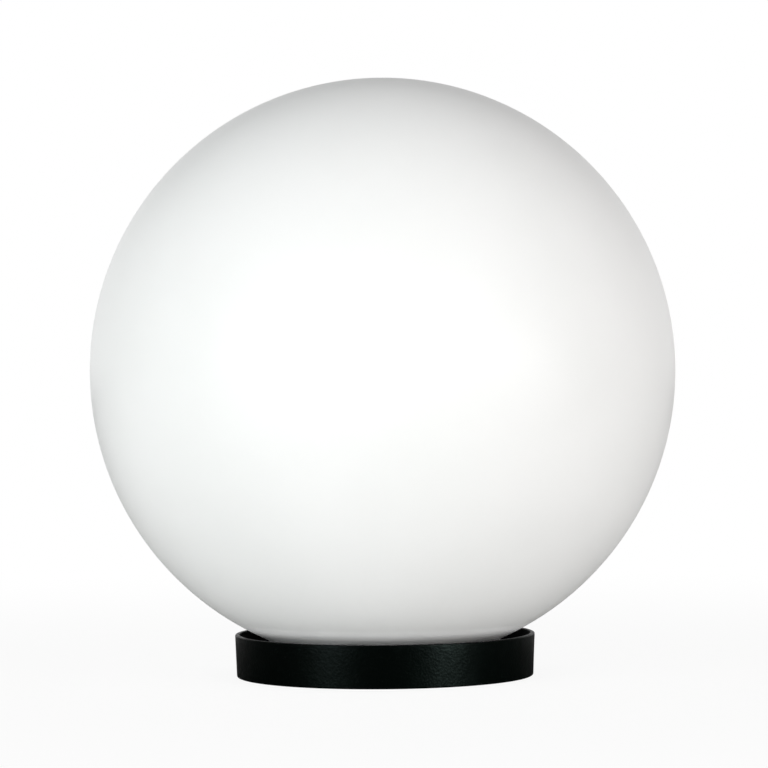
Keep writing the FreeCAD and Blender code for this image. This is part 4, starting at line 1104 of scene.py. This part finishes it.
@dataclass
class GearTray:
    """The zinc-coated tray and the bridge that carries the lampholder."""

    sheet_edge: float = 0.15
    screw_edge: float = 0.25

    def build(self) -> None:
        """Ease the sheet's edges and its screws."""
        settle_eased(TRAY_SHEET, ("gear_tray", "holder_bridge"), self.sheet_edge)
        screws = ("bridge_screws", "tray_screws", "lampholder_screws", "earth_screw")
        settle_eased(ZINC_PLATE, screws, self.screw_edge)


@dataclass
class Lampholder:
    """The porcelain lampholder with its threaded shell, contacts and terminals."""

    root: float = 12.45
    wall: float = 0.5
    low: float = 79.2
    high: float = 102.7
    flange: float = 9.95
    thread: Thread = Thread(3.629, 1.0, 80.6, 102.2, 0.9, 1.0, 1.0)
    cuts: int = 88
    steps: int = 96
    heel_round: float = 0.4
    seat_round: float = 0.3
    body_edge: float = 0.5
    contact_edge: float = 0.1

    def shell(self) -> Shape:
        """The shell, rolled from sheet with the lamp's thread.

        Returns:
            The shell.
        """
        outer, full = self.root + self.wall, self.root + self.thread.depth
        start, end = self.thread.low + Thread.RUN, self.thread.high - Thread.RUN
        outline = Profile(self.flange, self.low).line(full + self.wall, self.low, self.heel_round)
        outline.line(full + self.wall, self.thread.low).line(outer, start)
        outline.line(outer, end, cuts=self.cuts).line(full + self.wall, self.thread.high)
        outline.line(full + self.wall, self.high).line(full, self.high).line(full, self.thread.high)
        outline.line(self.root, end).line(self.root, start, cuts=self.cuts)
        outline.line(full, self.thread.low).line(full, self.low + self.wall, self.seat_round)
        outline.line(self.flange, self.low + self.wall).close()
        return outline.turn(self.steps).threaded(self.thread, self.root, outer)

    def build(self) -> None:
        """Make the lampholder's pieces."""
        settle_eased(PORCELAIN, ("lampholder_body",), self.body_edge, BROAD)
        settle(self.shell().piece("holder_shell"), Body.GALLERY, NICKEL, "lampholder_shell")
        contacts = ("centre_contact", "shell_contact")
        settle_eased(SPRING_BRASS, contacts, self.contact_edge)
        settle_eased(TURNED_BRASS, ("holder_terminals", "holder_terminal_screws"))


@dataclass
class Wiring:
    """The terminal block, the leads inside the light and the earth tag."""

    block_edge: float = 0.35
    tube_edge: float = 0.1
    screw_edge: float = 0.15

    def build(self) -> None:
        """Dress the block and the leads."""
        settle_eased(NYLON, ("terminal_block",), self.block_edge, BROAD)
        settle_eased(TURNED_BRASS, ("terminal_tubes",), self.tube_edge)
        screws = ("terminal_screws", "terminal_block_screws")
        settle_eased(ZINC_PLATE, screws, self.screw_edge)
        settle_eased(TINNED, ("earth_ring_tag",), self.screw_edge)
        for node, finish in (("live_lead", BROWN), ("neutral_lead", BLUE), ("earth_lead", GREEN_YELLOW)):
            finish.dress(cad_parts[node])


@dataclass
class Lamp:
    """The screw-cap lamp: contact, insulator, threaded cap, body and diffuser."""

    root: float = 12.2
    wall: float = 0.3
    low: float = 86.7
    foot: float = 11.0
    foot_step: float = 0.2
    shoulder_round: float = 0.6
    skirt_low: float = 104.2
    skirt_high: float = 107.7
    skirt_radius: float = 14.0
    skirt_round: float = 0.1
    thread: Thread = Thread(3.629, 1.0, 88.6, 104.2, 1.1, 0.0, 1.0)
    cuts: int = 72
    steps: int = 96
    tip_edge: float = 0.4
    insulator_edge: float = 0.3
    body_edge: float = 0.5

    def cap(self) -> Shape:
        """The cap, rolled with its thread and flared to its skirt.

        Returns:
            The cap.
        """
        full, inner = self.root + self.thread.depth, self.root - self.wall
        end = self.skirt_low - Thread.RUN
        outline = Profile(self.foot - self.wall, self.low + self.foot_step)
        outline.line(self.foot, self.low, self.foot_step)
        outline.line(self.root, self.thread.low, self.shoulder_round).line(self.root, end, cuts=self.cuts)
        outline.line(full, self.skirt_low).line(self.skirt_radius, self.skirt_high, self.skirt_round)
        outline.line(self.skirt_radius - self.wall, self.skirt_high).line(full - self.wall, self.skirt_low)
        outline.line(inner, end).line(inner, self.thread.low, cuts=self.cuts).close()
        return outline.turn(self.steps).threaded(self.thread, inner, self.root)

    def build(self) -> None:
        """Make the lamp's pieces."""
        settle(self.cap().piece("lamp_cap"), Body.LAMP, CAP_METAL, "lamp_cap_shell")
        settle_eased(CAP_METAL, ("lamp_tip_contact",), self.tip_edge, BROAD, Body.LAMP_TIP)
        settle_eased(CAP_GLASS, ("lamp_insulator",), self.insulator_edge, BROAD, Body.LAMP_TIP)
        settle_eased(LAMP_WHITE, ("lamp_body",), self.body_edge, BROAD, Body.LAMP)
        LAMP_FROST.dress(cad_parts["lamp_diffuser"])
        BOARD_WHITE.dress(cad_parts["led_board"])
        PHOSPHOR.dress(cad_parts["led_chips"])


# ---- studio ----


@dataclass(frozen=True)
class Softbox:
    """A soft lamp aimed at the light. It lights all of it, or one piece, which then mirrors it too."""

    name: str
    place: Point
    size: Tuple[float, float]
    power: float
    colour: Colour = WHITE
    only: str = ""

    def build(self, target: Vector) -> None:
        """Hang the lamp and aim it.

        Args:
            target: Point that it looks at.
        """
        lamp = bpy.data.lights.new(self.name, "AREA")
        lamp.shape = "RECTANGLE"
        lamp.size, lamp.size_y = self.size
        lamp.energy, lamp.color = self.power, self.colour
        made = bpy.data.objects.new(self.name, lamp)
        made.location = self.place
        made.rotation_euler = (target - made.location).to_track_quat("-Z", "Y").to_euler()
        made.visible_camera = False
        made.visible_glossy = bool(self.only)
        bpy.context.scene.collection.objects.link(made)
        if self.only:
            lit = bpy.data.collections.new(self.name + "_lights")
            lit.objects.link(bpy.data.objects[self.only])
            made.light_linking.receiver_collection = lit


@dataclass(frozen=True)
class Camera:
    """A camera at the height of the globe's centre, leaning as the photograph does."""

    distance: float = 1.66
    height: float = 0.1566
    aim: Point = (0.00067, 0.0, 0.14969)
    lean: float = -0.5
    focal_pixels: float = 3227.0
    frame_pixels: float = 768.0
    sensor: float = 36.0
    reach: Span = (0.05, 50.0)

    def build(self) -> None:
        """Set the camera up and take it for the scene."""
        lens = bpy.data.cameras.new("camera")
        lens.sensor_width = self.sensor
        lens.lens = self.focal_pixels * self.sensor / self.frame_pixels
        lens.clip_start, lens.clip_end = self.reach
        made = bpy.data.objects.new("camera", lens)
        made.location = (0.0, -self.distance, self.height)
        look = (Vector(self.aim) - made.location).to_track_quat("-Z", "Y")
        made.rotation_euler = (look @ Quaternion((0.0, 0.0, 1.0), math.radians(self.lean))).to_euler()
        bpy.context.scene.collection.objects.link(made)
        bpy.context.scene.camera = made


@dataclass(frozen=True)
class Room:
    """The world: white behind the object and in glass, a soft light, and a room that gloss reflects.

    That room is pale behind the object, less so high up and to the right, and has a pale box on each side
    of the camera. The rest of it is dark. Its spans are of a direction's coordinates.
    """

    ambient: float = 0.455
    dark: float = 0.1
    pale: float = 0.9
    back: Span = (0.45, 0.97)
    back_height: Span = (0.12, 0.5)
    back_top: Span = (1.0, 0.12)
    back_width: Span = (-0.4, 0.4)
    back_right: Span = (1.0, 0.75)
    box_way: Point = (0.7, -0.7, 0.14)
    box_edge: Span = (0.84, 0.98)

    def build(self) -> None:
        """Build the world's nodes."""
        world = bpy.data.worlds.new("studio")
        world.use_nodes = True
        bpy.context.scene.world = world
        graph = Graph(world.node_tree)
        way = graph.node("ShaderNodeTexCoord", output="Generated")
        x, y, z = (graph.part(way, letter) for letter in "XYZ")
        lower = graph.ramp(z, self.back_height, self.back_top)
        behind = graph.ramp(y, self.back) * lower * graph.ramp(x, self.back_width, self.back_right)
        side, front, rise = self.box_way
        boxes = graph.ramp(abs(x) * side + y * front + z * rise, self.box_edge)
        soft, dark, pale, white = (
            graph.node("ShaderNodeBackground", {}, {"Color": WHITE, "Strength": tone})
            for tone in (self.ambient, self.dark, self.pale, 1.0)
        )
        room = graph.merge(behind.over(boxes), dark, pale)
        lit = graph.merge(graph.seen_by("Is Glossy Ray"), soft, room)
        whole = graph.merge(graph.seen_by("Is Camera Ray", "Is Transmission Ray"), lit, white)
        graph.node("ShaderNodeOutputWorld", {}, {"Surface": whole})


@dataclass(frozen=True)
class Floor:
    """A pale floor that looks white and keeps the object's shadow.

    What is glossy sees it darker, with a painted shadow that is almost black near the object. Its half
    width and its drop are in millimetres, and its reaches in metres.
    """

    half: float = 6000.0
    drop: float = 0.05
    tint: Colour = (0.84, 0.84, 0.83)
    second: Colour = (0.8, 0.8, 0.79)
    fibre: Noise = (2.0, 3.0, 0.6)
    fibre_share: float = 0.3
    white_reach: Span = (0.15, 0.9)
    white_share: Span = (0.9, 1.0)
    gloss_share: float = 0.13
    shade: Colour = (0.04, 0.04, 0.04)
    shade_reach: Span = (0.18, 0.3)
    shade_share: Span = (0.95, 0.6)

    def build(self) -> None:
        """Lay the floor and make its paper."""
        bm, spot = bmesh.new(), Matrix.Translation((0.0, 0.0, -self.drop))
        bmesh.ops.create_grid(bm, x_segments=2, y_segments=2, size=self.half, matrix=spot)
        made = Shape(bm).piece("floor")
        paper = bpy.data.materials.new("floor_paper")
        paper.use_nodes = True
        graph = Graph(paper.node_tree)
        tint = graph.mix(graph.noise(*self.fibre) * self.fibre_share, self.tint, self.second)
        lit = graph.node("ShaderNodeBsdfDiffuse", {}, {"Color": tint})
        white = graph.node("ShaderNodeEmission", {}, {"Color": WHITE, "Strength": 1.0})
        # near-black colour of the painted shadow, which only gloss sees
        shade = graph.node("ShaderNodeBsdfDiffuse", {}, {"Color": self.shade})
        glossy, distance = graph.seen_by("Is Glossy Ray"), graph.distance()
        plain = graph.seen_by("Is Camera Ray", "Is Transmission Ray")
        whitened = plain * graph.ramp(distance, self.white_reach, self.white_share)
        # painted shadow: gloss sees the floor darker near the object
        painted_shadow = glossy * graph.ramp(distance, self.shade_reach, self.shade_share)
        bright = graph.merge(whitened.over(glossy * self.gloss_share), lit, white)
        graph.node("ShaderNodeOutputMaterial", {}, {"Surface": graph.merge(painted_shadow, bright, shade)})
        made.data.materials.append(paper)


@dataclass(frozen=True)
class Studio:
    """The camera, the room, the floor and the soft lamps. The two strips light the gallery alone."""

    camera: Camera = Camera()
    room: Room = Room()
    floor: Floor = Floor()
    lamps: Tuple[Softbox, ...] = (
        Softbox("left_softbox", (-1.25, -1.5, 0.42), (1.5, 1.1), 21.9, (0.965, 1.0, 0.995)),
        Softbox("right_softbox", (1.5, -1.3, 0.22), (1.1, 0.9), 18.9, (1.0, 0.972, 0.955)),
        Softbox("front_softbox", (0.0, -2.1, 0.6), (1.4, 0.8), 0.8),
        Softbox("back_softbox", (0.0, 2.1, 0.3), (1.6, 0.9), 22.0),
        Softbox("left_strip", (-0.853, -0.981, 0.11), (0.42, 0.2), 5.4, (0.72, 1.0, 0.95), Gallery.PIECE),
        Softbox("right_strip", (0.95, -0.887, 0.11), (0.5, 0.2), 11.2, (0.72, 1.0, 0.92), Gallery.PIECE),
    )

    def build(self) -> None:
        """Set up the studio."""
        bpy.context.scene.view_settings.view_transform = "Standard"
        self.camera.build()
        self.room.build()
        self.floor.build()
        for lamp in self.lamps:
            lamp.build(Vector((0.0, 0.0, self.camera.height)))


def main() -> None:
    """Build each sub-assembly and the studio in order."""
    logging.basicConfig(level=logging.INFO, format="%(name)s: %(message)s")
    for part in (Globe(), NeckGasket(), Gallery(), GearTray(), Lampholder(), Wiring(), Lamp(), Studio()):
        part.build()
        LOG.info("%s is in place", type(part).__name__)


if __name__ == "__main__":
    main()
